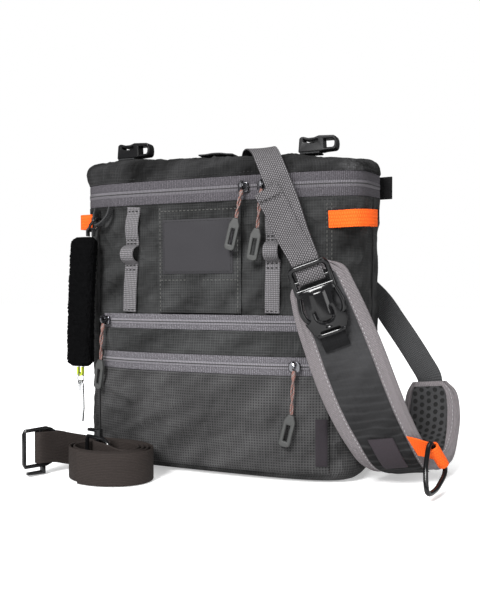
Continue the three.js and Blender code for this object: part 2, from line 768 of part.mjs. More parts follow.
const RING_Z = 73.4;
const RING_R = 4.4;
const RING_WIRE = 0.8;
const tabPath = uLoop(new V3(PATCH.x, PATCH.y, RING_Z + RING_R), 2.1, 5.2, -1);
add("nipper_tab", strap(tabPath, new V3(0, 1, 0), 4, 0.9), "lime");
const nipperRingPoints = Array.from({ length: 12 }, (_, i) => {
  const angle = (2 * Math.PI * i) / 12;
  return new V3(PATCH.x, PATCH.y + RING_R * Math.cos(angle), RING_Z + RING_R * Math.sin(angle));
});
add("nipper_ring", wireRing(nipperRingPoints, RING_WIRE, 16, 6), "metal");
const nipper = new THREE.Shape();
nipper.moveTo(-1.6, 2);
nipper.lineTo(1.6, 2);
nipper.lineTo(3.2, -3);
nipper.lineTo(3.6, -22);
nipper.lineTo(2.6, -33);
nipper.lineTo(-1.8, -34);
nipper.lineTo(-3.2, -24);
nipper.lineTo(-3.2, -3);
nipper.closePath();
const eyelet = new THREE.Path();
eyelet.absarc(0, -0.8, 1.3, 0, 2 * Math.PI, true);
nipper.holes.push(eyelet);
const nipperAt = new V3(PATCH.x, PATCH.y, RING_Z - RING_R + 0.8);
add("nipper", place(plate(nipper, 2.2, 0.3, 4), nipperAt, new V3(1, 0, 0), new V3(0.1, 0, 1)), "metal");

// Shoulder pad: left and right edges of its middle surface, from the buckle end to the rear end
const padRows = [
  { lx: 85, ly: -66, lz: 157, rx: 104, ry: -63, rz: 170 },
  { lx: 78, ly: -68, lz: 146, rx: 116, ry: -61, rz: 166 },
  { lx: 79, ly: -69, lz: 136, rx: 123.5, ry: -59, rz: 153 },
  { lx: 82.4, ly: -67.4, lz: 120, rx: 133, ry: -55.5, rz: 132 },
  { lx: 88.4, ly: -64.2, lz: 99, rx: 143, ry: -51, rz: 107 },
  { lx: 96.5, ly: -60, lz: 74, rx: 152, ry: -46, rz: 81 },
  { lx: 107, ly: -54, lz: 48.5, rx: 161, ry: -39, rz: 55 },
  { lx: 116.2, ly: -48, lz: 31.3, rx: 168.5, ry: -33, rz: 37 },
  { lx: 122.6, ly: -36.6, lz: 19, rx: 173, ry: -22, rz: 24.5 },
  { lx: 130, ly: -16.7, lz: 12, rx: 176.5, ry: -6, rz: 15.5 },
  { lx: 137.4, ly: 8, lz: 12, rx: 184.5, ry: 18.5, rz: 15.5 },
  { lx: 141, ly: 24.8, lz: 24, rx: 187, ry: 35, rz: 28 },
  { lx: 143.4, ly: 31.6, lz: 44, rx: 188, ry: 41, rz: 47 },
  { lx: 146, ly: 36, lz: 63, rx: 184.6, ry: 43, rz: 65 },
  { lx: 150, ly: 38, lz: 71, rx: 177, ry: 42, rz: 73 },
];
const leftPoints = padRows.map((r) => new V3(r.lx, r.ly, r.lz));
const rightPoints = padRows.map((r) => new V3(r.rx, r.ry, r.rz));
const padLeft = new THREE.CatmullRomCurve3(leftPoints, false, "centripetal");
const padRight = new THREE.CatmullRomCurve3(rightPoints, false, "centripetal");

// Frame of the pad at a share of its length: middle, half width vector and outward normal
function padFrame(t) {
  const left = padLeft.getPoint(t);
  const right = padRight.getPoint(t);
  const middle = left.clone().lerp(right, 0.5);
  const half = right.clone().sub(left).multiplyScalar(0.5);
  const step = 0.012;
  const from = Math.max(0, t - step);
  const to = Math.min(1, t + step);
  const ahead = padLeft.getPoint(to).add(padRight.getPoint(to));
  const behind = padLeft.getPoint(from).add(padRight.getPoint(from));
  const along = ahead.sub(behind).normalize();
  const normal = along.clone().cross(half).normalize();
  return { middle, half, normal, along };
}

function padLayer(from, to, steps, sections) {
  const rings = [];
  for (let i = 0; i <= steps; i++) {
    const { middle, half, normal } = padFrame(from + ((to - from) * i) / steps);
    rings.push(sections.map(([w, n]) => middle.clone().addScaledVector(half, w).addScaledVector(normal, n)));
  }
  return loft(rings);
}

// A layer that shares the stations of the pad itself
function padStations(first, last, sections) {
  return padLayer(first / PAD_STEPS, last / PAD_STEPS, last - first, sections);
}
const padFace = PAD_HALF_THICK;
const padRim = PAD_EDGE_THICK * PAD_HALF_THICK;
const padSection = [
  [-1, -padRim],
  [-PAD_EDGE, -padFace],
  [PAD_EDGE, -padFace],
  [1, -padRim],
  [1, padRim],
  [PAD_EDGE, padFace],
  [-PAD_EDGE, padFace],
  [-1, padRim],
];
const layer = (share, low, high) => [[-share, low], [share, low], [share, high], [-share, high]];
const outside = padFrame(0.3).normal.y < 0 ? 1 : -1;
const panelLow = outside * (padFace + PANEL_SEAT);
const panelHigh = outside * (padFace + PANEL_SEAT + PANEL_THICK);
add("shoulder_pad", padStations(0, PAD_STEPS, padSection), "borderGrey");
add("pad_panel", padStations(1, 19, layer(PANEL_SHARE, panelLow, panelHigh)), "black");
add("pad_mesh", padStations(1, PAD_STEPS - 1, layer(MESH_SHARE, -panelLow, -panelHigh)), "black");
const padPatchLow = outside * (padFace + PANEL_SEAT + GAP + PANEL_THICK);
const padPatchHigh = outside * (padFace + PANEL_SEAT + GAP + 2 * PANEL_THICK);
const padPatchSection = [
  [-0.36, padPatchLow],
  [0.3, padPatchLow],
  [0.3, padPatchHigh],
  [-0.36, padPatchHigh],
];
add("pad_patch", padLayer(0.47, 0.575, 6, padPatchSection), "beltBrown");

// Fastened side-release buckle lying on the top of the pad
const buckleFrame = padFrame(0.15);
const buckleDown = buckleFrame.along;
const buckleAcross = buckleFrame.half.clone().normalize();
const buckleOut = buckleFrame.normal.clone().multiplyScalar(outside);
const BUCKLE_LIFT = padFace + PANEL_SEAT + GAP + PANEL_THICK + 4.4;
const BUCKLE_SHIFT = -3;
const BUCKLE = buckleFrame.middle.clone().addScaledVector(buckleOut, BUCKLE_LIFT);
BUCKLE.addScaledVector(buckleAcross, BUCKLE_SHIFT);
const onBuckle = (down, out) => {
  return BUCKLE.clone().addScaledVector(buckleDown, down).addScaledVector(buckleOut, out);
};
function femaleShape() {
  const shape = new THREE.Shape();
  shape.moveTo(-9, 2.4);
  shape.lineTo(-12, 5);
  shape.quadraticCurveTo(-13.4, 12, -12.4, 20);
  shape.lineTo(-11, 25);
  shape.lineTo(11, 25);
  shape.lineTo(12.4, 20);
  shape.quadraticCurveTo(13.4, 12, 12, 5);
  shape.lineTo(9, 2.4);
  shape.closePath();
  const slot = new THREE.Path();
  slot.moveTo(-9.6, 19.4);
  slot.lineTo(9.6, 19.4);
  slot.lineTo(9.6, 22.2);
  slot.lineTo(-9.6, 22.2);
  slot.closePath();
  const windows = [-1, 1].map((side) => {
    const window = new THREE.Path();
    const step = 0.1 * side;
    window.moveTo(side * 9.8, 6.4 + step);
    window.lineTo(side * 7.8, 7.4 + step);
    window.lineTo(side * 7.8, 14.4 + step);
    window.lineTo(side * 10, 15.4 + step);
    window.closePath();
    return window;
  });
  shape.holes.push(slot, ...windows);
  return shape;
}
function maleShape() {
  const shape = new THREE.Shape();
  shape.moveTo(-12, -25);
  shape.lineTo(12, -25);
  shape.lineTo(12.6, -14);
  shape.lineTo(11.4, -4);
  shape.lineTo(8.8, 2);
  shape.lineTo(-8.8, 2);
  shape.lineTo(-11.4, -4);
  shape.lineTo(-12.6, -14);
  shape.closePath();
  for (const [from, to, half] of [[-22.6, -18.6, 10.2], [-15.4, -11, 9.8]]) {
    const slot = new THREE.Path();
    slot.moveTo(-half, from);
    slot.lineTo(half, from);
    slot.lineTo(half, to);
    slot.lineTo(-half, to);
    slot.closePath();
    shape.holes.push(slot);
  }
  return shape;
}
add("buckle_female", place(plate(femaleShape(), 7.6, 0.8, 5), BUCKLE, buckleAcross, buckleDown), "gloss");
add("buckle_male", place(plate(maleShape(), 4.6, 0.8, 4), BUCKLE, buckleAcross, buckleDown), "gloss");

// Short webbing that holds the buckle to the pad
const anchorFoot = padFrame(0.27);
const anchorLift = padFace + PANEL_SEAT + GAP + PANEL_THICK + 1.1;
const anchorEnd = anchorFoot.middle.clone().addScaledVector(anchorFoot.normal, outside * anchorLift);
anchorEnd.addScaledVector(buckleAcross, BUCKLE_SHIFT);
const anchorPath = [onBuckle(25.6, 0), onBuckle(29, -1.2), onBuckle(33, -2.4), anchorEnd];
add("buckle_anchor", strap(anchorPath, buckleAcross, STRAP_WIDTH - 1, STRAP_THICK), "black");

// Shoulder webbing: up the back, over the lid and down the front to the buckle, with its tail laid beside it
const TAIL_ASIDE = 10;
const webRows = [
  { x: -2, y: 53.1, z: 206, roll: 0 },
  { x: -1, y: 53.2, z: 226, roll: 0 },
  { x: 0, y: 54, z: 243, roll: 0 },
  { x: 1.5, y: 52.4, z: 255.4, roll: 0.05 },
  { x: 5, y: 43, z: 263.4, roll: 0.2 },
  { x: 13.5, y: 23, z: 266.2, roll: 0.4 },
  { x: 26, y: -3, z: 264.9, roll: 0.42 },
  { x: 38.5, y: -26, z: 261.6, roll: 0.34 },
  { x: 47.8, y: -42.8, z: 256.6, roll: 0.16 },
  { x: 56.6, y: -57, z: 246.6, roll: 0.08 },
  { x: 65, y: -63.6, z: 231, roll: 0.03 },
  { x: 74, y: -66.4, z: 210, roll: 0 },
  { x: 81.6, y: -69, z: 189, roll: 0 },
];
const webPoints = webRows.map(({ x, y, z }) => new V3(x, y, z));
webPoints.push(onBuckle(-31, 0.6), onBuckle(-25.6, 0));
const webPath = smooth(webPoints, 32);
const webRoll = (share) => {
  const at = share * (webPoints.length - 1);
  const row = Math.min(Math.floor(at), webRows.length - 2);
  const [from, to] = [webRows[row].roll, webRows[row + 1].roll];
  return from + (to - from) * Math.min(1, at - row);
};
const webAcross = webPath.map((p, i) => new V3(1, 0, -webRoll(i / 32)).lerp(buckleAcross, i / 32));
add("shoulder_webbing", strap(webPath, webAcross, STRAP_WIDTH, STRAP_THICK), "webGrey");
const tailPath = webPath.slice(24, 32).map((p, i) => {
  const aside = -TAIL_ASIDE * (1 - i / 8);
  const lift = STRAP_THICK + GAP + (i === 0 ? 1.2 : 0.3);
  return p.clone().addScaledVector(buckleOut, lift).addScaledVector(buckleAcross, aside);
});
tailPath.push(onBuckle(-23, 3.6), onBuckle(-17, 3.5));
add("webbing_tail", strap(tailPath, buckleAcross, STRAP_WIDTH - 0.6, STRAP_THICK), "webGrey");

// Net ring in a bright webbing tab that is looped over the lower right edge of the pad
const ringFrame = padFrame(0.515);
const ringAlong = ringFrame.along;
const acrossPad = ringFrame.half.clone().normalize();
const outPad = ringFrame.normal.clone().multiplyScalar(outside);
const sidePad = acrossPad.clone().addScaledVector(ringAlong, -acrossPad.dot(ringAlong)).normalize();
const padEdge = ringFrame.middle.clone().add(ringFrame.half);
const BAR_WIRE = 1.8;
const RING_TAB_WIDTH = 20;
const RING_TAB_THICK = 1.4;
const TAB_TURN = BAR_WIRE + 0.9 + 0.8;
const BAR_SIDE = 5.9;
const BAR_DOWN = 5.6;
const tabLift = padFace + GAP + RING_TAB_THICK / 2;
const onEdge = (side, down, out) => {
  const p = padEdge.clone().addScaledVector(sidePad, side);
  return p.addScaledVector(ringAlong, down).addScaledVector(outPad, out);
};
const barMiddle = onEdge(BAR_SIDE, BAR_DOWN, tabLift + TAB_TURN);
const tabRows = [
  { side: -7.4, down: -8.4 },
  { side: -4, down: -5.2 },
  { side: -0.4, down: -1.4 },
  { side: 2.4, down: 2 },
  { side: 4.4, down: 4.2 },
];
const tabPoints = tabRows.map(({ side, down }) => onEdge(side, down, tabLift));
for (let i = 0; i <= 11; i++) {
  const angle = (Math.PI * (27 * i - 90)) / 180;
  const rise = TAB_TURN + TAB_TURN * Math.sin(angle);
  tabPoints.push(onEdge(BAR_SIDE + TAB_TURN * Math.cos(angle), BAR_DOWN, tabLift + rise));
}
add("ring_tab", skewStrap(tabPoints, ringAlong, RING_TAB_WIDTH, RING_TAB_THICK), "orange");
const RING_LEAN = (115 * Math.PI) / 180;
const ringOut = sidePad.clone().multiplyScalar(Math.cos(RING_LEAN)).addScaledVector(outPad, Math.sin(RING_LEAN));
const netRows = [
  { side: -12.4, out: 0 },
  { side: -5, out: 0 },
  { side: 5, out: 0 },
  { side: 12.4, out: 0 },
  { side: 14.2, out: 4 },
  { side: 12.6, out: 13 },
  { side: 8.2, out: 25 },
  { side: 0, out: 34 },
  { side: -8.2, out: 25 },
  { side: -12.6, out: 13 },
  { side: -14.2, out: 4 },
];
const netPoints = netRows.map(({ side, out }) => {
  return barMiddle.clone().addScaledVector(ringAlong, side).addScaledVector(ringOut, out);
});
add("net_ring", wireRing(netPoints, BAR_WIRE, 27, 7), "gloss");

// Rear webbing from the back of the bag to the rear end of the pad
const onRear = (t, n) => {
  const { middle, normal } = padFrame(t);
  return middle.clone().addScaledVector(normal, outside * n);
};
const rearAcross = padFrame(0.96).half.clone().normalize();
const rearPoints = [
  new V3(97, 53.2, 158),
  new V3(108, 53.4, 150),
  new V3(120, 54.6, 138),
  new V3(132, 54.4, 121),
  new V3(144, 52.4, 104),
  new V3(154, 50, 89),
  onRear(0.995, padFace + GAP + 1.6).add(new V3(0, 0, 4)),
  onRear(0.96, padFace + GAP + 1.2),
  onRear(0.92, padFace + GAP + 1.2),
];
const rearPath = smooth(rearPoints, 22);
const rearRefs = rearPath.map((p, i) => new V3(0.8, 0, 0.6).lerp(rearAcross, Math.min(1, i / 17)));
add("rear_webbing", strap(rearPath, rearRefs, STRAP_WIDTH, STRAP_THICK), "webGrey");

// Waist belt: one strap from its sewn end round the coil, out to a hook, back and inwards to the second hook
function coilPoint(degrees, share) {
  const angle = THREE.MathUtils.degToRad(degrees);
  const x = COIL_CENTRE[0] + COIL_HALF[0] * share * Math.cos(angle);
  const y = COIL_CENTRE[1] + COIL_HALF[1] * share * Math.sin(angle);
  return new V3(x, y, 0);
}

// Points half way round a bar, from one side of the strap to the other
function barTurn(bar, side, ahead) {
  return [0, 45, 90, 135, 180].map((turn) => {
    const angle = THREE.MathUtils.degToRad(turn);
    const p = bar.clone().addScaledVector(side, BAR_TURN * Math.cos(angle));
    return p.addScaledVector(ahead, BAR_TURN * Math.sin(angle));
  });
}

const leadRows = [
  { x: -86, y: -60.4, lift: 0, split: 1.2 },
  { x: -100.4, y: -65.6, lift: 1.5, split: 1.4 },
  { x: -110.6, y: -75, lift: 4.4, split: 2.2 },
  { x: -117.6, y: -86, lift: 8, split: 3 },
];
const leadSide = new V3(-0.86, 0.5, 0);
const leadPoint = (row, sign) => new V3(row.x, row.y, row.lift).addScaledVector(leadSide, sign * row.split);
const outerAhead = new V3(-0.4, -0.917, 0).normalize();
const outerSide = new V3(-0.917, 0.4, 0).normalize();
const outerBar = new V3(...BELT_BAR, OUTER_LIFT);
const innerAhead = new V3(-0.944, 0.33, 0).normalize();
const innerSide = new V3(-0.33, -0.944, 0).normalize();
const innerBar = new V3(...INNER_BAR, INNER_LIFT);
const innerRows = [
  { x: -43.2, y: -93, lift: 0 },
  { x: -47.6, y: -97.4, lift: 0.6 },
  { x: -53, y: -98, lift: 1.4 },
  { x: -59.6, y: -96, lift: 2.4 },
  { x: -67.4, y: -93.2, lift: 3.2 },
];
const beltPlan = [];
for (let a = -106; a <= 90; a += 14) beltPlan.push(coilPoint(a, 1));
leadRows.forEach((row) => beltPlan.push(leadPoint(row, 1)));
beltPlan.push(...barTurn(outerBar, outerSide, outerAhead));
leadRows.slice().reverse().forEach((row) => beltPlan.push(leadPoint(row, -1)));
for (let turned = 0; turned <= 360 * COIL_TURNS; turned += 18) {
  beltPlan.push(coilPoint(90 - turned, 1 - COIL_PITCH - (COIL_SHRINK * turned) / 360));
}
innerRows.forEach(({ x, y, lift }) => beltPlan.push(new V3(x, y, lift)));
beltPlan.push(...barTurn(innerBar, innerSide, innerAhead));
beltPlan.push(innerBar.clone().addScaledVector(innerSide, -BAR_TURN).addScaledVector(innerAhead, -12));
const beltPath = beltPlan.map((p) => p.clone().setZ(p.z + BELT_MIDDLE));
add("belt", strap(beltPath, new V3(0, 0, 1), BELT_WIDTH, BELT_THICK), "beltBrown");

// Belt hooks: a D-shaped frame with two windows either side of the bar, and a short hook at one end of it
function hookSolid() {
  const shape = new THREE.Shape();
  shape.moveTo(-13, -15.6);
  shape.lineTo(6, -16);
  shape.quadraticCurveTo(18, -13, 18, 0);
  shape.quadraticCurveTo(18, 13, 6, 16);
  shape.lineTo(-13, 15.6);
  shape.lineTo(-15, 12);
  shape.lineTo(-15, -12);
  shape.closePath();
  const front = new THREE.Path();
  front.moveTo(-12, -13);
  front.lineTo(-12, 13);
  front.lineTo(-1.2, 13);
  front.lineTo(-1.2, -13);
  front.closePath();
  const rear = new THREE.Path();
  rear.moveTo(1.2, -12.7);
  rear.lineTo(1.2, 12.75);
  rear.lineTo(6, 12.8);
  rear.quadraticCurveTo(14.6, 10, 14.6, 0);
  rear.quadraticCurveTo(14.6, -10, 6, -12.8);
  rear.closePath();
  shape.holes.push(front, rear);
  const hook = new THREE.Shape();
  hook.moveTo(1, -15.4);
  hook.lineTo(4.4, -15.6);
  hook.lineTo(4.4, -21.8);
  hook.lineTo(-11, -21);
  hook.lineTo(-11, -18.8);
  hook.lineTo(1, -19);
  hook.closePath();
  return joined(plate(shape, 3, 0.7, 5), plate(hook, 4.4, 0.6));
}
const hookUp = new V3(0, 0, 1);
const hookDown = new V3(0, 0, -1);
const beltMiddle = new V3(0, 0, BELT_MIDDLE);
const hookOuter = outerBar.clone().add(beltMiddle);
add("belt_hook_outer", place(hookSolid(), hookOuter, outerAhead.clone().negate(), hookUp), "gloss");
const hookInner = innerBar.clone().add(beltMiddle);
add("belt_hook_inner", place(hookSolid(), hookInner, innerAhead.clone().negate(), hookDown), "gloss");

export default group;
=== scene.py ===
"""Looks of the chest pack: cloth, webbing, zips, pad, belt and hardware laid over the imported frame.

Lengths in the shape functions are millimetres, and the mesh builder turns them into metres.
"""

import functools
import math

import bmesh
import bpy
import numpy as np
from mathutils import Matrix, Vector


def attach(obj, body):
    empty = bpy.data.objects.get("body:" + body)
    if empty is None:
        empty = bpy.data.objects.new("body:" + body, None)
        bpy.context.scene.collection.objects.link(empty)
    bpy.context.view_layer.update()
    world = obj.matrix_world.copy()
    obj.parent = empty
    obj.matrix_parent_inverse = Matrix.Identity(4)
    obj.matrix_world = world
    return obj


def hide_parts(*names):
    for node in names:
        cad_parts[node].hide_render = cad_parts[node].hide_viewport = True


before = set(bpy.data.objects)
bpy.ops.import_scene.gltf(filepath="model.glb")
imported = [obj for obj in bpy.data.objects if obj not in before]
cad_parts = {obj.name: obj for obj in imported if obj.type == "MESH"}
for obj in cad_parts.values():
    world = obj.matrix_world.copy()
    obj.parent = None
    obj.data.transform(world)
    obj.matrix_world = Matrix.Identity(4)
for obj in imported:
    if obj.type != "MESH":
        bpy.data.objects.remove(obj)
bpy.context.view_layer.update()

bl_info = {
    "name": "Chest pack",
    "version": (1, 0, 0),
    "blender": (4, 5, 0),
    "location": "View3D > Sidebar > Chest pack",
    "description": "Builds the cloth, webbing and hardware of a chest pack over its packed frame",
    "category": "Object",
}

MM = 0.001
BODY = "pack"
GAP = 0.3
STUDIO_FILL = 0.16
FLOOR_GLOW = {"seen": 0.4, "shed": 0.14}

# Bag sizes in millimetres, as in the solids
HALF_WIDTH, HALF_DEPTH = 124.5, 52.0
FRONT_POWER, BACK_POWER = 4.0, 7.0
WALL, BASE_RADIUS, TAPER = 2.0, 14.0, 2.5
ZIP_FRONT_Z, ZIP_RISE, ZIP_HALF, ZIP_COIL_HALF = 227.5, 8.0, 9.6, 2.6
ZIP_SUNK, ZIP_TAPE, ZIP_END, ZIP_END_EASE = 0.4, 1.4, 40.5, 1.4
BASE_RINGS, WALL_RINGS, WALL_RINGS_INSIDE = 7, 110, 20
LID_TOP_FRONT, LID_TOP_BACK, LID_RADIUS, LID_DOME = 256.0, 259.0, 11.0, 2.0
LID_DOME_REACH, LID_PUCKER, LID_PUCKERS = 22.0, 0.7, 11
LID_INSETS, LID_INSETS_INSIDE = [3, 6, 9, 13, 17, 22, 28, 34, 38], [9, 22, 34]
LID_SIDE_RINGS, LID_ROUND_RINGS = 14, 16
LID_TILT, LID_LEVEL_X, LID_FULL = 0.036, -30.0, 2.0
POCKET_HALF, POCKET_SEAT, POCKET_WALL, POCKET_FOOT = 100.0, 0.6, 1.5, 8.0
POCKET_COLUMNS, POCKET_LEVELS = 180, 66
POCKET_SWELL, SWELL_FOOT, SWELL_SPAN, SWELL_POWER = 9.0, 12.0, 145.0, 2.5
MID_ZIP_Z, MID_ZIP_HALF, LOW_ZIP_Z, LOW_ZIP_HALF = 122.4, 6.0, 90.0, 7.0
FRONT_ZIP_HALF, FRONT_TAPE, FRONT_COIL_HALF, FRONT_COIL = 95.0, 1.0, 1.9, 0.8
CENTRE = {"left": -40.5, "right": 32.0, "low": 129.6, "high": 216.4, "thick": 1.2}
LABEL = {"left": -36.0, "right": 25.5, "low": 161.0, "high": 204.5, "thick": 0.8}
CORNER = {"left": 90.6, "right": 98.8, "low": 15.0, "high": 50.6, "thick": 1.2}
RIM_ROUND, RIM_REACH, FOLD_EASE = 0.5, 1.6, 7.0
STRAP_WIDTH, STRAP_THICK = 20.0, 1.6
CHAIN_WIDTH, CHAIN_THICK, GEAR_WIDTH = 12.0, 1.2, 8.0
SIDE_WIDTH, SIDE_LIFT, SIDE_THICK = 13.0, 6.5, 1.3
SIDE_Z = {"left": 207.0, "right": 201.0}
SIDE_TO = {"left": 9.0, "right": -8.0}
SIDE_FROM = {"left": -41.0, "right": -47.5}
PAD_FACE, PAD_STEP, PANEL_SEAT, PANEL_THICK = 5.0, 0.012, 0.45, 1.0
PANEL_SHARE, MESH_SHARE = 0.62, 0.66
PANEL_TOP, PANEL_ARCH = 1 / 29, 0.055
BELT_WIDTH, BELT_THICK, BELT_LIFT = 25.0, 1.6, 0.3

# Slack cloth: the share of cloth that is over, and the scale, ten times life, and steps of the simulation
WALL_SLACK, LID_SLACK, POCKET_SLACK = 0.015, 0.03, 0.015
SIM_SCALE, SIM_STEPS = 0.01, 18

# Camera in millimetres and degrees, fitted to the photograph, whose height in pixels scales the focal length
PHOTO_HEIGHT, SENSOR = 600, 36.0
CAMERA = {"azimuth": 22.0, "distance": 621.0, "side": 9.4, "height": 148.0, "pitch": -0.8, "focal_px": 720.0}


def length(label, text, metres):
    """A length property with its label, its description and its default"""
    return bpy.props.FloatProperty(name=label, description=text, default=metres, unit="LENGTH")


class PackSizes(bpy.types.PropertyGroup):
    """Sizes of the cloth that a user would change"""

    wrinkle: length("Wrinkle depth", "Height of the folds in the bag's cloth", 0.0011)
    ripstop_pitch: length("Ripstop pitch", "Distance between the ripstop threads", 0.0021)
    tooth_pitch: length("Tooth pitch", "Distance between the turns of the zip coil", 0.0013)
    stitch_length: length("Stitch length", "Length of one visible stitch", 0.0022)
    stitch_pitch: length("Stitch pitch", "Distance from one stitch to the next", 0.0034)
    mesh_pitch: length("Mesh pitch", "Distance between the holes of the pad mesh", 0.0062)
    edge_round: length("Edge radius", "Rounding of the moulded pieces", 0.00045)


def colour(label, rgb):
    """A colour property with its label and linear default"""
    text = f"Colour of the {label.lower()}"
    return bpy.props.FloatVectorProperty(
        name=label, description=text, default=rgb, subtype="COLOR", size=3, min=0.0, max=1.0
    )


class PackColours(bpy.types.PropertyGroup):
    """Colours of the finishes"""

    charcoal: colour("Bag cloth", (0.0185, 0.0188, 0.0190))
    lid: colour("Lid cloth", (0.0118, 0.0118, 0.0121))
    ripstop: colour("Pocket cloth", (0.0195, 0.0193, 0.0196))
    black: colour("Black cloth", (0.0055, 0.0055, 0.006))
    zip_grey: colour("Zip tape", (0.122, 0.114, 0.128))
    zip_pale: colour("Pocket zip tape", (0.195, 0.186, 0.205))
    web_grey: colour("Webbing", (0.200, 0.193, 0.202))
    strap_grey: colour("Strap webbing", (0.165, 0.158, 0.165))
    strap_dark: colour("Rear webbing", (0.062, 0.063, 0.065))
    border_grey: colour("Pad border", (0.215, 0.196, 0.204))
    panel: colour("Pad panel", (0.022, 0.022, 0.023))
    orange: colour("Orange webbing", (0.98, 0.125, 0.014))
    belt_brown: colour("Belt", (0.034, 0.027, 0.0245))
    gloss: colour("Moulded plastic", (0.005, 0.005, 0.0055))
    metal: colour("Steel", (0.72, 0.73, 0.74))
    dark_metal: colour("Slider", (0.13, 0.13, 0.14))
    cord_pink: colour("Cord", (0.24, 0.105, 0.085))
    pull_grey: colour("Zip pull", (0.034, 0.035, 0.034))
    label: colour("Front patch", (0.030, 0.029, 0.032))
    patch_violet: colour("Pad patch", (0.036, 0.030, 0.035))
    tab_dark: colour("Corner tab", (0.025, 0.021, 0.025))
    lime: colour("Lime tab", (0.50, 0.60, 0.05))
    thread: colour("Pale thread", (0.30, 0.29, 0.30))
    bag_thread: colour("Grey thread", (0.075, 0.075, 0.070))


def sizes():
    """The sizes held by the scene"""
    return bpy.context.scene.chest_pack_sizes


def colours():
    """The colours held by the scene"""
    return bpy.context.scene.chest_pack_colours


# Curves and frames


def unit(v):
    """Vectors of length one along the last axis"""
    return v / np.maximum(np.linalg.norm(v, axis=-1, keepdims=True), 1e-9)


def smoothstep(x, low, high):
    """Zero below low, one above high, and a cubic ease between"""
    t = np.clip((x - low) / (high - low), 0.0, 1.0)
    return t * t * (3.0 - 2.0 * t)


def signed_power(x, power):
    """A power of x without its sign, which is put back: the rounded squares of sections"""
    return np.sign(x) * np.abs(x) ** power


def catmull(points, t):
    """Centripetal Catmull-Rom curve: each span is the cubic through its two points whose end slopes
    come from the neighbouring chords, each chord weighted by the square root of its length."""
    p = np.asarray(points, float)
    p = np.vstack([2 * p[0] - p[1], p, 2 * p[-1] - p[-2]])
    s = np.clip(np.asarray(t, float), 0, 1) * (len(p) - 3)
    i = np.minimum(s.astype(int), len(p) - 4)
    w = (s - i)[:, None]
    p0, p1, p2, p3 = p[i], p[i + 1], p[i + 2], p[i + 3]
    chords = ((p0, p1), (p1, p2), (p2, p3))
    d0, d1, d2 = (np.sqrt(np.linalg.norm(b - a, axis=1, keepdims=True)) for a, b in chords)
    m1 = ((p1 - p0) / d0 - (p2 - p0) / (d0 + d1) + (p2 - p1) / d1) * d1
    m2 = ((p2 - p1) / d1 - (p3 - p1) / (d1 + d2) + (p3 - p2) / d2) * d1
    return p1 + m1 * w + (3 * (p2 - p1) - 2 * m1 - m2) * w**2 + (2 * (p1 - p2) + m1 + m2) * w**3


def run_length(path):
    """Distance along a path at each of its points"""
    return np.concatenate([[0], np.cumsum(np.linalg.norm(np.diff(path, axis=0), axis=1))])


def read_at(at, run, points):
    """Points at distances along a run, on straight lines between the given points"""
    return np.stack([np.interp(at, run, points[:, k]) for k in range(3)], axis=1)


def spaced(points, count):
    """The Catmull-Rom curve through points, at count + 1 places an equal length apart"""
    fine = catmull(points, np.linspace(0, 1, 60 * len(points)))
    run = run_length(fine)
    return read_at(np.linspace(0, run[-1], count + 1), run, fine)


def closed_curve(points, count):
    """The same curve through a closed run of points, at count places"""
    wrapped = np.vstack([points[-3:], points, points[:4]])
    n = len(wrapped) - 1
    fine = catmull(wrapped, np.linspace(3 / n, (3 + len(points)) / n, 60 * len(points)))
    run = run_length(fine)
    return read_at(np.linspace(0, run[-1], count, endpoint=False), run, fine)


def waves(u, v, seed, size, count=14):
    """Smooth noise of about unit height: a seeded sum of sine waves in many directions"""
    rng = np.random.default_rng(seed)
    turn = rng.uniform(0, 2 * np.pi, count)
    scale = 2 * np.pi / (size * rng.uniform(0.6, 1.8, count))
    start = rng.uniform(0, 2 * np.pi, count)
    total = np.zeros(np.broadcast(u, v).shape)
    for a, k, s in zip(turn, scale, start):
        total = total + np.sin(k * (u * np.cos(a) + v * np.sin(a)) + s)
    return total / math.sqrt(count)


def crumple(u, v, seed, size):
    """Creased cloth, 0 in its hollows and 1 on its ridges, where a warped sum of waves is near zero"""
    bend = 0.35 * size
    p = u + bend * waves(u, v, seed + 1, 2.2 * size, 6)
    q = v + bend * waves(u, v, seed + 2, 2.2 * size, 6)
    return (1 - np.minimum(np.abs(waves(p, q, seed, size, 10)), 1)) ** 2


def creases(u, v, rows):
    """Soft ridges along line segments: height times a bell across each segment, fading at its ends"""
    total = np.zeros(np.broadcast(u, v).shape)
    for row in rows:
        ax, ay, bx, by = row["from"] + row["to"]
        dx, dy = bx - ax, by - ay
        reach = math.hypot(dx, dy)
        along = ((u - ax) * dx + (v - ay) * dy) / reach
        off = ((v - ay) * dx - (u - ax) * dy) / reach
        fade = smoothstep(along, -0.25 * reach, 0.2 * reach)
        fade = fade * smoothstep(-along, -1.25 * reach, -0.8 * reach)
        total = total + row["height"] * np.exp(-((off / row["width"]) ** 2)) * fade
    return total


# Cloth simulation


def grid_quads(rows, cols, rows_close=False, cols_close=True):
    """Corner numbers of the quads of a grid of points, whose rows or columns may close"""
    at = np.arange(rows * cols).reshape(rows, cols)
    step = np.roll(at, -1, axis=1)
    quads = np.stack([at, step, np.roll(step, -1, axis=0), np.roll(at, -1, axis=0)], axis=-1)
    return quads[: None if rows_close else -1, : None if cols_close else -1].reshape(-1, 4)


def normals_of(grid):
    """Unit normals of a grid whose columns close: the cross product of its two central differences"""
    across = np.roll(grid, -1, axis=1) - np.roll(grid, 1, axis=1)
    return unit(np.cross(np.gradient(grid, axis=0), across))


def softened(field):
    """A grid of moves, each blended with its neighbours; the columns close, the rows end"""
    field = (np.roll(field, 1, axis=1) + 2 * field + np.roll(field, -1, axis=1)) / 4
    longer = np.pad(field, ((1, 1), (0, 0)), mode="edge")
    return (longer[:-2] + 2 * field + longer[2:]) / 4


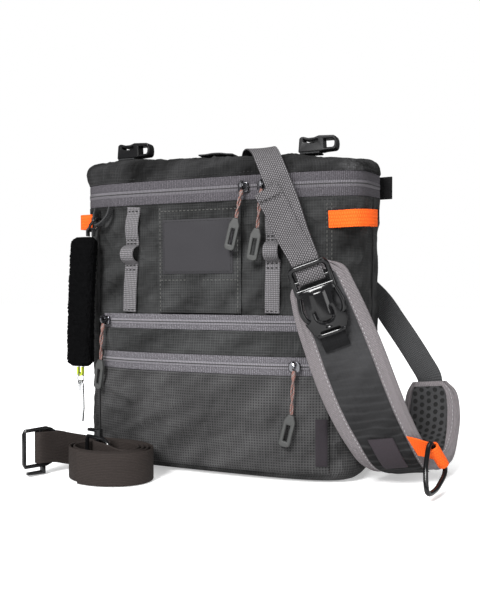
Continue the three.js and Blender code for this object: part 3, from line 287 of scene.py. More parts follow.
def slack_sheet(name, part, held, excess, closed):
    """Cloth simulation of a grid of points: a sheet held at some of them, with more cloth than its outline
    needs, so that it folds; gravity is off, and the sheet is taken away. Gives the settled points."""
    mesh = bpy.data.meshes.new(name)
    quads = grid_quads(*part.shape[:2], cols_close=closed)
    mesh.from_pydata((part.reshape(-1, 3) * SIM_SCALE).tolist(), [], quads.tolist())
    sheet = bpy.data.objects.new(name, mesh)
    scene = bpy.context.scene
    scene.collection.objects.link(sheet)
    sheet.vertex_groups.new(name="held").add(np.flatnonzero(held.reshape(-1)).tolist(), 1.0, "REPLACE")
    cloth = sheet.modifiers.new("cloth", "CLOTH")
    cloth.settings.vertex_group_mass = "held"
    cloth.settings.shrink_min = -excess
    cloth.settings.shrink_max = -excess
    cloth.settings.effector_weights.gravity = 0.0
    cloth.collision_settings.use_collision = False
    for step in range(1, SIM_STEPS + 1):
        scene.frame_set(step)
    settled = np.empty(part.size)
    sheet.evaluated_get(bpy.context.evaluated_depsgraph_get()).data.vertices.foreach_get("co", settled)
    bpy.data.objects.remove(sheet)
    bpy.data.meshes.remove(mesh)
    scene.frame_set(1)
    if not np.all(np.isfinite(settled)):
        raise RuntimeError(f"the cloth of {name} did not settle")
    return settled.reshape(part.shape) / SIM_SCALE


def slack_folds(name, grid, rows, stride, held, excess, closed=True):
    """How far slack cloth moves along each normal, in millimetres: some rows and columns are simulated,
    the broad belly is taken off, and the moves are read back in between and softened."""
    high, wide = grid.shape[:2]
    cols = np.arange(0, wide, stride)
    part = grid[rows][:, cols]
    settled = slack_sheet(name, part, held[rows][:, cols], excess, closed)
    move = np.sum((settled - part) * normals_of(grid)[rows][:, cols], axis=-1)
    belly = move.mean(axis=1, keepdims=True)
    if closed:
        cols = np.append(cols, wide)
        move = np.hstack([move, move[:, :1]]) - belly
    else:
        move = move - belly * move.mean(axis=0, keepdims=True) / move.mean()
    move = np.array([np.interp(np.arange(wide), cols, row) for row in move])
    move = np.array([np.interp(np.arange(high), rows, column) for column in move.T]).T
    for _ in range(stride + 1):
        move = softened(move)
    return move


def within(move, inward, outward):
    """Caps a move softly: the hyperbolic tangent of each side's share of its limit"""
    outward = np.maximum(outward, 1e-6)
    return outward * np.tanh(np.maximum(move, 0) / outward) - inward * np.tanh(np.maximum(-move, 0) / inward)


# Mesh building


def texture_places(along, across):
    """Texture places out of distances along and across, broadcast to one grid"""
    return np.stack(np.broadcast_arrays(along, across), axis=-1)


def lofted(rings, uv, closed=False):
    """A profile carried along a path: quads join each ring to the next, and one face closes each end.
    rings is (n, m, 3) and uv (n, m + 1, 2), or (n + 1, m + 1, 2) if closed, both in millimetres.
    All faces are turned round if the volume that they enclose comes out negative."""
    n, m = rings.shape[:2]
    quads = grid_quads(n, m, closed)
    texels = [np.stack([uv[:-1, :-1], uv[:-1, 1:], uv[1:, 1:], uv[1:, :-1]], axis=2).reshape(-1, 2)]
    corners = [quads.reshape(-1)]
    counts = [np.full(len(quads), 4)]
    if not closed:
        corners += [np.arange(m)[::-1], np.arange(m) + (n - 1) * m]
        texels += [uv[0, :-1][::-1], uv[-1, :-1]]
        counts += [[m], [m]]
    points = rings.reshape(-1, 3)
    a, b, c, d = (points[quads[:, k]] for k in range(4))
    volume = np.einsum("ij,ij->", a, np.cross(b, c)) + np.einsum("ij,ij->", a, np.cross(c, d))
    for face in corners[1:]:
        p = points[face]
        volume += np.einsum("ij,ij->", np.broadcast_to(p[0], p[1:-1].shape), np.cross(p[1:-1], p[2:]))
    loops, texels, counts = np.concatenate(corners), np.concatenate(texels), np.concatenate(counts)
    starts = np.concatenate([[0], np.cumsum(counts)[:-1]])
    if volume < 0:
        ends = starts + counts - 1
        order = np.repeat(ends + starts, counts) - np.arange(len(loops))
        loops, texels = loops[order], texels[order]
    mesh = bpy.data.meshes.new("piece")
    mesh.vertices.add(len(points))
    mesh.vertices.foreach_set("co", (points * MM).astype(np.float32).ravel())
    mesh.loops.add(len(loops))
    mesh.loops.foreach_set("vertex_index", loops.astype(np.int32))
    mesh.polygons.add(len(counts))
    mesh.polygons.foreach_set("loop_start", starts.astype(np.int32))
    layer = mesh.uv_layers.new(name="UVMap")
    layer.data.foreach_set("uv", (texels * MM).astype(np.float32).ravel())
    mesh.update(calc_edges=True)
    smooth(mesh, 55)
    return mesh


def smooth(mesh, degrees):
    """Shades a mesh smooth, with a sharp edge where its faces meet at more than an angle"""
    mesh.polygons.foreach_set("use_smooth", np.ones(len(mesh.polygons), dtype=bool))
    mesh.set_sharp_from_angle(angle=math.radians(degrees))


def from_work(work):
    """A mesh out of a work mesh, which is freed"""
    mesh = bpy.data.meshes.new("piece")
    work.to_mesh(mesh)
    work.free()
    return mesh


def show(name, mesh, look, slot, *nodes, body=BODY):
    """Puts a mesh in the scene with its name and finish, on its body, in place of its solids"""
    mesh.name = name
    obj = bpy.data.objects.new(name, mesh)
    bpy.context.collection.objects.link(obj)
    mesh.materials.clear()
    mesh.materials.append(finishes()[look])
    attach(obj, body)
    if nodes:
        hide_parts(*nodes)
    return obj


LOWER_SECTION = [(-1, -0.4), (-0.985, -0.8), (-0.94, -1), (-0.5, -1), (0, -1)]
LOWER_SECTION += [(0.5, -1), (0.94, -1), (0.985, -0.8), (1, -0.4)]
SECTION = np.array(LOWER_SECTION + [(-w, -t) for w, t in LOWER_SECTION])


def strap_frames(path, reference, skew=False):
    """Along, across and normal of a flat strap, whose width lies along the reference, made square
    to the path unless the strap runs askew"""
    along = np.empty_like(path)
    along[1:-1] = path[2:] - path[:-2]
    along[0], along[-1] = path[1] - path[0], path[-1] - path[-2]
    along = unit(along)
    ref = np.broadcast_to(np.asarray(reference, float), path.shape)
    across = unit(ref) if skew else unit(ref - along * np.sum(ref * along, axis=1, keepdims=True))
    return along, across, unit(np.cross(along, across))


def strap_mesh(path, reference, width, thick, skew=False):
    """A flat section carried along a path: point = path + across * w * width / 2 + normal * t * thick / 2"""
    _, across, normal = strap_frames(path, reference, skew)
    w, t = SECTION[:, 0], SECTION[:, 1]
    rings = path[:, None] + across[:, None] * (w * width / 2)[None, :, None]
    rings = rings + normal[:, None] * (t * thick / 2)[None, :, None]
    side = np.append(w, w[0]) * width / 2
    return lofted(rings, texture_places(run_length(path)[:, None], side[None]))


def web(node, path, reference, width, thick, look, slot):
    """Shows a strap in place of the solid that it is named after"""
    show(f"{node}_web", strap_mesh(path, reference, width, thick), look, slot, node)


def tube_mesh(path, radius, sides=12, closed=False):
    """A circle carried along a path, on a frame square to one guide; a closed path joins its ends"""
    before, after = (path[-1], path[0]) if closed else (2 * path[0] - path[1], 2 * path[-1] - path[-2])
    ends = np.vstack([before, path, after])
    along = unit(ends[2:] - ends[:-2])
    guide = np.cross(along[0], along[len(along) // 3])
    guide = unit(guide) if np.linalg.norm(guide) > 1e-3 else np.array([0.0, 1.0, 0.0])
    first = unit(guide - along * np.sum(guide * along, axis=1, keepdims=True))
    second = np.cross(along, first)
    a = np.linspace(0, 2 * np.pi, sides, endpoint=False)
    size = np.broadcast_to(np.asarray(radius, float), (len(path),))[:, None, None]
    spokes = first[:, None] * np.cos(a)[None, :, None] + second[:, None] * np.sin(a)[None, :, None]
    run = run_length(path)
    if closed:
        run = np.append(run, run[-1] + np.linalg.norm(path[0] - path[-1]))
    around = np.append(a, 2 * np.pi) * float(np.mean(radius))
    return lofted(path[:, None] + size * spokes, texture_places(run[:, None], around[None]), closed)


# Bag surfaces


def outline(degrees, inset):
    """Plan outline of the bag: a superellipse, squarer at the back than at the front, shrunk by the inset"""
    a = np.radians(degrees)
    c, s = np.cos(a), np.sin(a)
    power = np.where(s < 0, FRONT_POWER, BACK_POWER)
    k = (np.abs(c) ** power + np.abs(s) ** power) ** (-1 / power)
    return (HALF_WIDTH - inset) * c * k, (HALF_DEPTH - inset) * s * k


def taper_inset(z):
    """The bag narrows towards its base"""
    return TAPER * np.maximum(0, 1 - z / ZIP_FRONT_Z)


def wall_inset(z):
    """Taper and the round of the base edge"""
    under = np.maximum(0, BASE_RADIUS - z)
    return taper_inset(z) + BASE_RADIUS - np.sqrt(BASE_RADIUS**2 - under**2)


def zip_z(y):
    """Height of the main zip's centre line, which climbs towards the back"""
    return ZIP_FRONT_Z + ZIP_RISE * (y + HALF_DEPTH) / (2 * HALF_DEPTH)


def lid_top(x, y):
    """Height of the lid's top edge, which rises to the back and sinks to the right, less so at the back"""
    rise = (LID_TOP_BACK - LID_TOP_FRONT) * (y + HALF_DEPTH) / (2 * HALF_DEPTH)
    tilt = LID_TILT * (1 - 0.7 * smoothstep(y, -15, 30))
    return LID_TOP_FRONT + rise - tilt * (x - LID_LEVEL_X)


def behind(degrees):
    """One at the back, where no zip runs, easing to zero at the zip's ends"""
    from_back = np.abs(np.mod(degrees + 90, 360) - 180)
    return np.clip((90 - ZIP_END - from_back) / ZIP_END_EASE, 0, 1)


def plan_normal(degrees):
    """Outward direction of the plan outline"""
    xa, ya = outline(degrees - 0.5, 0)
    xb, yb = outline(degrees + 0.5, 0)
    return unit(np.stack([yb - ya, xa - xb, np.zeros_like(xa)], axis=-1))


def front_y(x, z):
    """Depth of the bag's front at x and z"""
    inset = wall_inset(z)
    share = np.minimum(np.abs(x) / (HALF_WIDTH - inset), 0.999)
    return -(HALF_DEPTH - inset) * (1 - share**FRONT_POWER) ** (1 / FRONT_POWER)


def front_normal(x, z):
    """Outward direction of the bag's front"""
    slope = front_y(x + 0.5, z) - front_y(x - 0.5, z)
    return unit(np.stack([slope, -np.ones_like(slope), np.zeros_like(slope)], axis=-1))


def front_point(x, z, off):
    """A point that stands off the bag's front by a distance"""
    x, z, off = np.broadcast_arrays(np.asarray(x, float), np.asarray(z, float), np.asarray(off, float))
    return np.stack([x, front_y(x, z), z], axis=-1) + front_normal(x, z) * off[..., None]


POCKET_FOLDS = [
    {"from": (-78, 28), "to": (-8, 66), "height": 1.9, "width": 4.5},
    {"from": (-90, 22), "to": (-36, 42), "height": -1.1, "width": 5.0},
    {"from": (-24, 38), "to": (34, 62), "height": 1.3, "width": 5.5},
    {"from": (-10, 18), "to": (52, 32), "height": -0.8, "width": 7.0},
    {"from": (-97, 70), "to": (-58, 58), "height": 1.6, "width": 4.0},
    {"from": (-98, 52), "to": (-70, 48), "height": 1.2, "width": 4.0},
    {"from": (58, 14), "to": (64, 74), "height": -0.6, "width": 6.0},
]


def swell(x, z):
    """How far the filled pockets stand off the bag front: a flat-topped hump across and half a sine up"""
    across = 1 - np.minimum(1, np.abs(x) / POCKET_HALF) ** SWELL_POWER
    up = np.sin(np.pi * np.clip((z + SWELL_FOOT) / SWELL_SPAN, 0, 1))
    return POCKET_SEAT + POCKET_SWELL * across * up


def ease_edges(x, z, box):
    """One inside a box, falling to zero at its rim"""
    ease = smoothstep(x, box["left"], box["left"] + FOLD_EASE)
    ease = ease * smoothstep(-x, -box["right"], -box["right"] + FOLD_EASE)
    ease = ease * smoothstep(z, box["low"], box["low"] + FOLD_EASE)
    return ease * smoothstep(-z, -box["high"], -box["high"] + FOLD_EASE)


def front_sheet(box, offset, nx, nz, folds=None, middle=0.0):
    """A sheet on the bag's front: one ring for each x runs up its outside and down its inside, at the
    offset plus folds, and the wall narrows at the rim. Texture heights count from the middle."""
    x = np.linspace(box["left"], box["right"], nx + 1)[:, None]
    z = np.linspace(box["low"], box["high"], nz + 1)[None]
    base = offset(x, z)
    extra = folds(x, z) * ease_edges(x, z, box) if folds else 0.0
    edge = np.minimum(x - box["left"], box["right"] - x)
    edge = np.minimum(edge, np.minimum(z - box["low"], box["high"] - z))
    thin = RIM_ROUND * (1 - smoothstep(edge, 0.0, RIM_REACH))
    outer = front_point(x, z, base + extra + box["thick"] - thin)
    inner = front_point(x, z, base + np.maximum(np.minimum(extra, 0.0), -0.2))
    rings = np.concatenate([outer, inner[:, ::-1]], axis=1)
    column = np.concatenate([z[0], z[0][::-1], z[0][:1]]) - middle
    return lofted(rings, texture_places(x, column[None]))


def girth(degrees):
    """Distance round the plan outline at each angle, and once more where it closes"""
    x, y = outline(degrees, 0)
    arc = run_length(np.stack([x, y, 0 * x], axis=1))
    return np.append(arc, arc[-1] + np.hypot(x[0] - x[-1], y[0] - y[-1]))


def body_mesh():
    """The bag's wall: the outline lofted from the rounded base up to the zip and down again inside,
    moved along the outline's normal by seeded creases and by simulated folds, which go inwards only."""
    deg = np.linspace(0, 360, 520, endpoint=False)
    rim = zip_z(outline(deg, 0)[1]) - GAP / 2 - ZIP_HALF * (1 - behind(deg))
    normal = plan_normal(deg)
    around = girth(deg)
    arc = around[:-1]
    depth = sizes().wrinkle / MM

    def side(extra, radius, floor, levels):
        """Rings of one face of the wall, from the base up"""
        phi = np.linspace(0, np.pi / 2, BASE_RINGS)[:, None]
        low = floor + radius * (1 - np.cos(phi)) + 0 * deg
        high = floor + radius + np.linspace(0, 1, levels)[1:, None] * (rim - floor - radius)
        z = np.vstack([low, high])
        turn = np.vstack([radius * (1 - np.sin(phi)) + 0 * deg, 0 * high])
        px, py = outline(deg[None], extra + taper_inset(z) * (z < ZIP_FRONT_Z) + turn)
        points = np.stack([px, py, z], axis=-1)
        fold = crumple(arc[None], z * 0.8, 4, 60.0) + 0.35 * crumple(arc[None], z, 9, 22.0) - 1.3
        hold = smoothstep(z, 6, 30) * smoothstep(rim - z, 1, 14)
        return points + normal[None] * (0.7 * depth * fold * hold)[..., None]

    outer = side(0, BASE_RADIUS, 0, WALL_RINGS)
    inner = side(WALL, BASE_RADIUS - WALL, WALL, WALL_RINGS_INSIDE)
    foot, last = BASE_RINGS - 1, len(outer) - 1
    level = np.arange(len(outer))[:, None] + 0 * deg
    rows = np.r_[0:foot:2, foot : last + 1 : 3, last]
    move = -slack_folds("wall_slack", outer, rows, 3, (level <= foot) | (level == last), WALL_SLACK)
    fold = within(move - 0.5, 1.1, 0) * smoothstep(level, 10, 24) * smoothstep(-level, 2 - last, 11 - last)
    like = np.r_[0:BASE_RINGS, np.linspace(foot, last, WALL_RINGS_INSIDE)[1:]].round().astype(int)
    outer = outer + normal[None] * fold[..., None]
    inner = inner + normal[None] * fold[like][..., None]
    rings = np.concatenate([outer, inner[::-1]])
    return lofted(rings, texture_places(around[None], np.pad(rings[..., 2], ((0, 0), (0, 1)), mode="wrap")))


def lid_mesh():
    """The lid: the outline lofted from the middle of its top over the round edge to the zip and back inside.
    Puckers run round its edge as a sine of the angle, creases lie on its side and top, and simulated folds
    move it along its normals."""
    deg = np.linspace(0, 360, 560, endpoint=False)
    x0, y0 = outline(deg, 0)
    rim = zip_z(y0) + GAP / 2 + ZIP_HALF * (1 - behind(deg))
    around = girth(deg)
    arc = around[:-1]
    depth = sizes().wrinkle / MM
    pucker = LID_PUCKER * np.sin(np.radians(LID_PUCKERS * deg))
    full = LID_FULL * np.maximum(0, np.cos(np.radians(deg - 205))) ** 10
    worn = smoothstep(x0, 84, 112) * smoothstep(-y0, -30, 0)

    def lumps(run):
        """Folds of the lid's side at a distance up its profile, deeper at the right corner"""
        broad = crumple(arc, run * 0.5, 21, 34.0) - 0.45
        fine = crumple(arc * 1.2, run, 25, 12.0) - 0.4
        return depth * (0.9 * broad + (0.45 + 0.6 * worn) * fine) * smoothstep(run, 0.5, 6)

    def side(extra, radius, drop, insets):
        """Rings of one face from the zip up and over to the middle"""
        edge = lid_top(x0, y0) - drop - radius
        share = np.linspace(0, 1, LID_SIDE_RINGS)[:, None]
        wall_z = rim + share * (edge - rim)
        wall_in = extra - lumps(wall_z - rim) - full * share
        phi = np.linspace(0, np.pi / 2, LID_ROUND_RINGS + 1)[1:, None]
        lump = lumps(edge - rim + LID_RADIUS * phi)
        round_in = extra + radius * (1 - np.cos(phi)) + pucker * np.sin(2 * phi) - (full + lump) * np.cos(phi)
        round_z = lid_top(*outline(deg, round_in)) - drop - radius * (1 - np.sin(phi))
        round_z = round_z + (0.6 * pucker + lump - 1.4 * worn) * np.sin(phi)
        top_in = extra + radius + np.asarray(insets)[:, None] + 0 * deg
        tx, ty = outline(deg, top_in)
        reach = top_in - extra - radius
        fade = np.exp(-reach / 8.0)
        lump = depth * (crumple(tx, ty * 1.3, 33, 40.0) - 0.9) * smoothstep(reach, 0, 12) + lump[-1] * fade
        top_z = lid_top(tx, ty) - drop + LID_DOME * np.minimum(reach / LID_DOME_REACH, 1)
        top_z = top_z + (0.6 * pucker - 1.4 * worn) * fade + lump
        px, py = outline(deg, np.vstack([wall_in, round_in, top_in]))
        return np.stack([px, py, np.vstack([wall_z, round_z, top_z])], axis=-1)

    outer = side(0, LID_RADIUS, 0, LID_INSETS)
    inner = side(WALL, LID_RADIUS - WALL, WALL, LID_INSETS_INSIDE)
    brow, last = LID_SIDE_RINGS + LID_ROUND_RINGS, len(outer) - 1
    level = np.arange(len(outer))[:, None] + 0 * deg
    held = (level < 1) | (level > last - 2)
    move = -slack_folds("lid_slack", outer, np.r_[0:brow:2, brow : last + 1], 2, held, LID_SLACK)
    fold = within(1.3 * move, 2.0, 0.7 * (level < 22))
    fold = fold * smoothstep(level, 0, 5) * smoothstep(-level, 1 - last, 6 - last)
    normal = -normals_of(outer)
    like = np.r_[0:brow, [brow + LID_INSETS.index(inset) for inset in LID_INSETS_INSIDE]]
    inner = inner + (normal * np.minimum(fold, 0)[..., None])[like]
    outer = outer + normal * fold[..., None]
    rings = np.concatenate([outer[::-1], inner])
    steps = np.mean(np.linalg.norm(np.diff(rings, axis=0), axis=2), axis=1)
    return lofted(rings, texture_places(around[None], np.concatenate([[0], np.cumsum(steps)])[:, None]))


def zip_band(low, high, crown):
    """A band of the main zip: a low round section carried round the outline between two heights"""
    deg = np.linspace(-180 - ZIP_END, ZIP_END, 360)
    v = np.array([0, 0.06, 0.3, 0.5, 0.7, 0.94, 1, 1, 0.5, 0])
    out = np.array([0.1, 0, 0, 0, 0, 0, 0.1, ZIP_TAPE, ZIP_TAPE, ZIP_TAPE])
    bulge = np.array([0, 0.3, 0.8, 1, 0.8, 0.3, 0, 0, 0, 0]) * crown
    px, py = outline(deg[:, None], ZIP_SUNK + (out - bulge)[None])
    rings = np.stack([px, py, zip_z(py) + low + (high - low) * v[None]], axis=-1)
    side = np.append(v, v[0]) * (high - low) + low
    return lofted(rings, texture_places(run_length(rings[:, 3])[:, None], side[None]))


# Pad


PAD_ROWS = np.array(
    [
        (85, -66, 157, 104, -63, 170),
        (78, -68, 146, 116, -61, 166),
        (79, -69, 136, 123.5, -59, 153),
        (82.4, -67.4, 120, 133, -55.5, 132),
        (88.4, -64.2, 99, 143, -51, 107),
        (96.5, -60, 74, 152, -46, 81),
        (107, -54, 48.5, 161, -39, 55),
        (116.2, -48, 31.3, 168.5, -33, 37),
        (122.6, -36.6, 19, 173, -22, 24.5),
        (130, -16.7, 12, 176.5, -6, 15.5),
        (137.4, 8, 12, 184.5, 18.5, 15.5),
        (141, 24.8, 24, 187, 35, 28),
        (143.4, 31.6, 44, 188, 41, 47),
        (146, 36, 63, 184.6, 43, 65),
        (150, 38, 71, 177, 42, 73),
    ]
)


def pad_edges(t):
    """Left and right edge of the pad at shares of its length"""
    return catmull(PAD_ROWS[:, :3], t), catmull(PAD_ROWS[:, 3:], t)


def pad_frame(t):
    """Middle, half width vector, outward normal and direction of the pad at shares of its length"""
    t = np.atleast_1d(np.asarray(t, float))
    left, right = pad_edges(t)
    ahead, back = pad_edges(np.minimum(t + PAD_STEP, 1)), pad_edges(np.maximum(t - PAD_STEP, 0))
    along = unit(ahead[0] + ahead[1] - back[0] - back[1])
    half = (right - left) / 2
    return (left + right) / 2, half, unit(np.cross(along, half)) * pad_side(), along


def pad_side():
    """Sign that turns the pad's normal away from the bag"""
    left, right = pad_edges(np.array([0.3 - PAD_STEP, 0.3, 0.3 + PAD_STEP]))
    along = (left + right)[2] - (left + right)[0]
    return 1.0 if np.cross(along, right[1] - left[1])[1] < 0 else -1.0


def pad_mesh_of(t, section):
    """A section carried along the pad: w in half widths and n in millimetres outwards for each share,
    and point = middle + half * w + normal * n."""
    middle, half, normal, _ = pad_frame(t)
    w, n = section(t[:, None])
    rings = middle[:, None] + half[:, None] * w[..., None] + normal[:, None] * n[..., None]
    side = np.concatenate([w, w[:, :1]], axis=1) * np.linalg.norm(half, axis=1)[:, None]
    return lofted(rings, texture_places(run_length(middle)[:, None], side))


# Belt


COIL_CENTRE, COIL_HALF = np.array([-68.0, -85.9]), np.array([37.6, 26.6])
COIL_PITCH, COIL_SHRINK, COIL_TURNS, BAR_TURN = 0.083, 0.104, 2.25, 3.1
OUTER_BAR, INNER_BAR = np.array([-123.0, -99.0, 9.4]), np.array([-76.6, -86.6, 3.6])
LEAD_ROWS = np.array(
    [(-86, -60.4, 0, 1.2), (-100.4, -65.6, 1.5, 1.4), (-110.6, -75, 4.4, 2.2), (-117.6, -86, 8, 3)]
)
INNER_ROWS = np.array(
    [(-43.2, -93, 0), (-47.6, -97.4, 0.6), (-53, -98, 1.4), (-59.6, -96, 2.4), (-67.4, -93.2, 3.2)]
)


def coil_points(degrees, share):
    """Points of the coil: an ellipse in plan, shrunk by the share"""
    a = np.radians(degrees)
    turn = np.stack([np.cos(a), np.sin(a)], axis=1)
    flat = COIL_CENTRE + COIL_HALF * turn * np.asarray(share).reshape(-1, 1)
    return np.column_stack([flat, np.zeros(len(flat))])


def bar_turn(bar, side, ahead):
    """Half a turn round a bar, from one side of the strap to the other"""
    a = np.radians([0, 45, 90, 135, 180])[:, None]
    return bar + BAR_TURN * (np.cos(a) * side + np.sin(a) * ahead)


def belt_path():
    """Middle line of the belt: part of a turn, out to a hook and back, two more turns, in to a hook"""
    lead_side = np.array([-0.86, 0.5, 0])
    lead = lambda sign: LEAD_ROWS[:, :3] + sign * LEAD_ROWS[:, 3:] * lead_side
    turned = np.arange(0, 360 * COIL_TURNS + 1, 18.0)
    outer_ahead, outer_side = unit(np.array([-0.4, -0.917, 0])), unit(np.array([-0.917, 0.4, 0]))
    inner_ahead, inner_side = unit(np.array([-0.944, 0.33, 0])), unit(np.array([-0.33, -0.944, 0]))
    first = np.arange(-106, 91, 14.0)
    plan = np.vstack(
        [
            coil_points(first, np.ones(len(first))),
            lead(1),
            bar_turn(OUTER_BAR, outer_side, outer_ahead),
            lead(-1)[::-1],
            coil_points(90 - turned, 1 - COIL_PITCH - COIL_SHRINK * turned / 360),
            INNER_ROWS,
            bar_turn(INNER_BAR, inner_side, inner_ahead),
            INNER_BAR - BAR_TURN * inner_side - 12 * inner_ahead,
        ]
    )
    return plan + [0, 0, BELT_LIFT + BELT_WIDTH / 2]


# Materials


class Wires:
    """Short ways to add nodes to a tree and link them"""

    def __init__(self, tree):
        self.tree = tree

    def node(self, kind, inputs=None, **settings):
        """A node of a kind with its settings, and values or links for its inputs"""
        made = self.tree.nodes.new(kind)
        for key, value in settings.items():
            setattr(made, key, value)
        for key, value in (inputs or {}).items():
            self.join(value, made.inputs[key])
        return made

    def join(self, value, socket):
        """Links an output to a socket, or sets the socket's value"""
        if isinstance(value, bpy.types.NodeSocket):
            self.tree.links.new(value, socket)
        else:
            socket.default_value = value

    def calc(self, operation, *values):
        """A Math node"""
        return self.node("ShaderNodeMath", dict(enumerate(values)), operation=operation).outputs[0]

    def blend(self, share, first, second, clamp=True, mode="MIX"):
        """A colour between two colours, or the second laid over the first in a mode"""
        settings = {"data_type": "RGBA", "clamp_factor": clamp, "blend_type": mode}
        made = self.node("ShaderNodeMix", {"Factor": share}, **settings)
        ends = [socket for socket in made.inputs if socket.type == "RGBA"]
        for value, socket in zip((first, second), ends):
            self.join(value if isinstance(value, bpy.types.NodeSocket) else (*value, 1.0), socket)
        return next(socket for socket in made.outputs if socket.type == "RGBA")

    def noise(self, vector, scale, detail):
        """The value of a Noise texture"""
        inputs = {"Vector": vector, "Scale": scale, "Detail": detail}
        return self.node("ShaderNodeTexNoise", inputs).outputs[0]

    def ranged(self, value, *limits, ease="SMOOTHSTEP"):
        """A value carried from between its first two limits to between its last two"""
        inputs = dict(zip(("Value", "From Min", "From Max", "To Min", "To Max"), (value, *limits)))
        return self.node("ShaderNodeMapRange", inputs, interpolation_type=ease).outputs[0]

    def split(self, vector):
        """X, Y and Z of a vector"""
        return self.node("ShaderNodeSeparateXYZ", {0: vector}).outputs

    def bump(self, height, strength, distance):
        """A normal out of a height"""
        inputs = {"Strength": strength, "Distance": distance, "Height": height}
        return self.node("ShaderNodeBump", inputs).outputs[0]


def effect(name, outputs, **numbers):
    """Turns a function that wires an effect into one that places it as a shared node group.
    The group takes a vector and numbers with their defaults, and gives the outputs by name."""

    def group(build):
        tree = bpy.data.node_groups.new(name, "ShaderNodeTree")
        tree.interface.new_socket(name="Vector", in_out="INPUT", socket_type="NodeSocketVector")
        for label, default in numbers.items():
            socket = tree.interface.new_socket(name=label, in_out="INPUT", socket_type="NodeSocketFloat")
            socket.default_value = default
        for label in outputs:
            tree.interface.new_socket(name=label, in_out="OUTPUT", socket_type="NodeSocketFloat")
        wires = Wires(tree)
        start, end = wires.node("NodeGroupInput"), wires.node("NodeGroupOutput")
        for label, value in zip(outputs, build(wires, start.outputs)):
            wires.join(value, end.inputs[label])
        return tree

    def shared(build):
        @functools.wraps(build)
        def place(wires, vector, **values):
            tree = bpy.data.node_groups.get(name) or group(build)
            return wires.node("ShaderNodeGroup", {"Vector": vector, **values}, node_tree=tree).outputs

        return place

    return shared


@effect("ripstop", ["Lines", "Threads", "Slub"], Pitch=0.0021, Line=0.36)
def ripstop(w, given):
    """Lines where thicker threads cross the cloth both ways, the fine threads between, and their slubs"""
    u, v, _ = w.split(given["Vector"])
    lines = []
    for axis in (u, v):
        cell = w.calc("FRACT", w.calc("DIVIDE", axis, given["Pitch"]))
        near = w.calc("ABSOLUTE", w.calc("SUBTRACT", cell, 0.5))
        lines.append(w.calc("GREATER_THAN", near, given["Line"]))
    fine = [w.calc("SINE", w.calc("MULTIPLY", axis, 9000.0)) for axis in (u, v)]
    slubs = []
    for stretch in ((1400.0, 60.0, 1.0), (60.0, 1400.0, 1.0)):
        drawn = w.node("ShaderNodeVectorMath", {0: given["Vector"], 1: stretch}, operation="MULTIPLY")
        slubs.append(w.noise(drawn.outputs[0], 1.0, 1.0))
    slub = w.calc("MULTIPLY", w.calc("ADD", *slubs), 0.5)
    return w.calc("MAXIMUM", *lines), w.calc("MULTIPLY", *fine), slub


def staggered(w, u, row, pitch, shift):
    """Place along rows in steps of a pitch, every second row shifted by a share of a step"""
    odd = w.calc("MODULO", w.calc("FLOOR", row), 2.0)
    return w.calc("ADD", w.calc("DIVIDE", u, pitch), w.calc("MULTIPLY", odd, shift))


@effect("webbing weave", ["Height", "Gap"], Along=0.0021, Across=0.0016, Shift=0.5)
def webbing_weave(w, given):
    """Knuckles of a coarse weave in rows, every second row shifted, and the gaps between them"""
    u, v, _ = w.split(given["Vector"])
    row = w.calc("DIVIDE", v, given["Across"])
    along = staggered(w, u, row, given["Along"], given["Shift"])
    humps = [w.calc("ABSOLUTE", w.calc("SINE", w.calc("MULTIPLY", c, math.pi))) for c in (along, row)]
    height = w.calc("POWER", w.calc("MULTIPLY", *humps), 0.8)
    return height, w.calc("SUBTRACT", 1.0, height)


@effect("ribs", ["Height"], Pitch=0.0013)
def ribs(w, given):
    """Even ribs along the first coordinate"""
    wave = w.calc("MULTIPLY", w.calc("DIVIDE", w.split(given["Vector"])[0], given["Pitch"]), 2 * math.pi)
    return (w.calc("MULTIPLY_ADD", w.calc("SINE", wave), 0.5, 0.5),)


@effect("cloth", ["Shade", "Crumple", "Crease", "Fold"], Scale=22.0)
def worn_cloth(w, given):
    """Cloudy shade of worn cloth, its small crumples, creases where a noise passes through its middle,
    and long slanted folds"""
    shade = w.noise(given["Vector"], given["Scale"], 2.0)
    small = w.noise(given["Vector"], w.calc("MULTIPLY", given["Scale"], 7.0), 4.0)
    middle = w.noise(given["Vector"], w.calc("MULTIPLY", given["Scale"], 1.7), 2.0)
    off = w.calc("ABSOLUTE", w.calc("MULTIPLY_ADD", middle, 2.0, -1.0))
    crease = w.calc("POWER", w.calc("MAXIMUM", w.calc("MULTIPLY_ADD", off, -2.4, 1.0), 0.0), 2.0)
    folds = []
    for turn, stretch in ((0.62, (58.0, 40.0, 15.0)), (-0.4, (16.0, 30.0, 70.0))):
        inputs = {"Vector": given["Vector"], "Rotation": (0, turn, 0), "Scale": [1 / k for k in stretch]}
        laid = w.node("ShaderNodeMapping", inputs, vector_type="TEXTURE")
        folds.append(w.noise(laid.outputs[0], 1.0, 1.5))
    return shade, small, crease, w.calc("ADD", *folds)


@effect("holes", ["Hole"], Pitch=0.0062, Size=0.33)
def round_holes(w, given):
    """Round holes in rows, every second row shifted by half a step"""
    u, v, _ = w.split(given["Vector"])
    row = w.calc("DIVIDE", v, w.calc("MULTIPLY", given["Pitch"], 0.866))
    along = staggered(w, u, row, given["Pitch"], 0.5)
    offs = [w.calc("SUBTRACT", w.calc("FRACT", c), 0.5) for c in (along, row)]
    far = w.calc("SQRT", w.calc("ADD", *[w.calc("MULTIPLY", off, off) for off in offs]))
    return (w.calc("LESS_THAN", far, given["Size"]),)


FINISH_INPUTS = ("Base Color", "Roughness", "Normal", "Specular IOR Level", "Metallic")


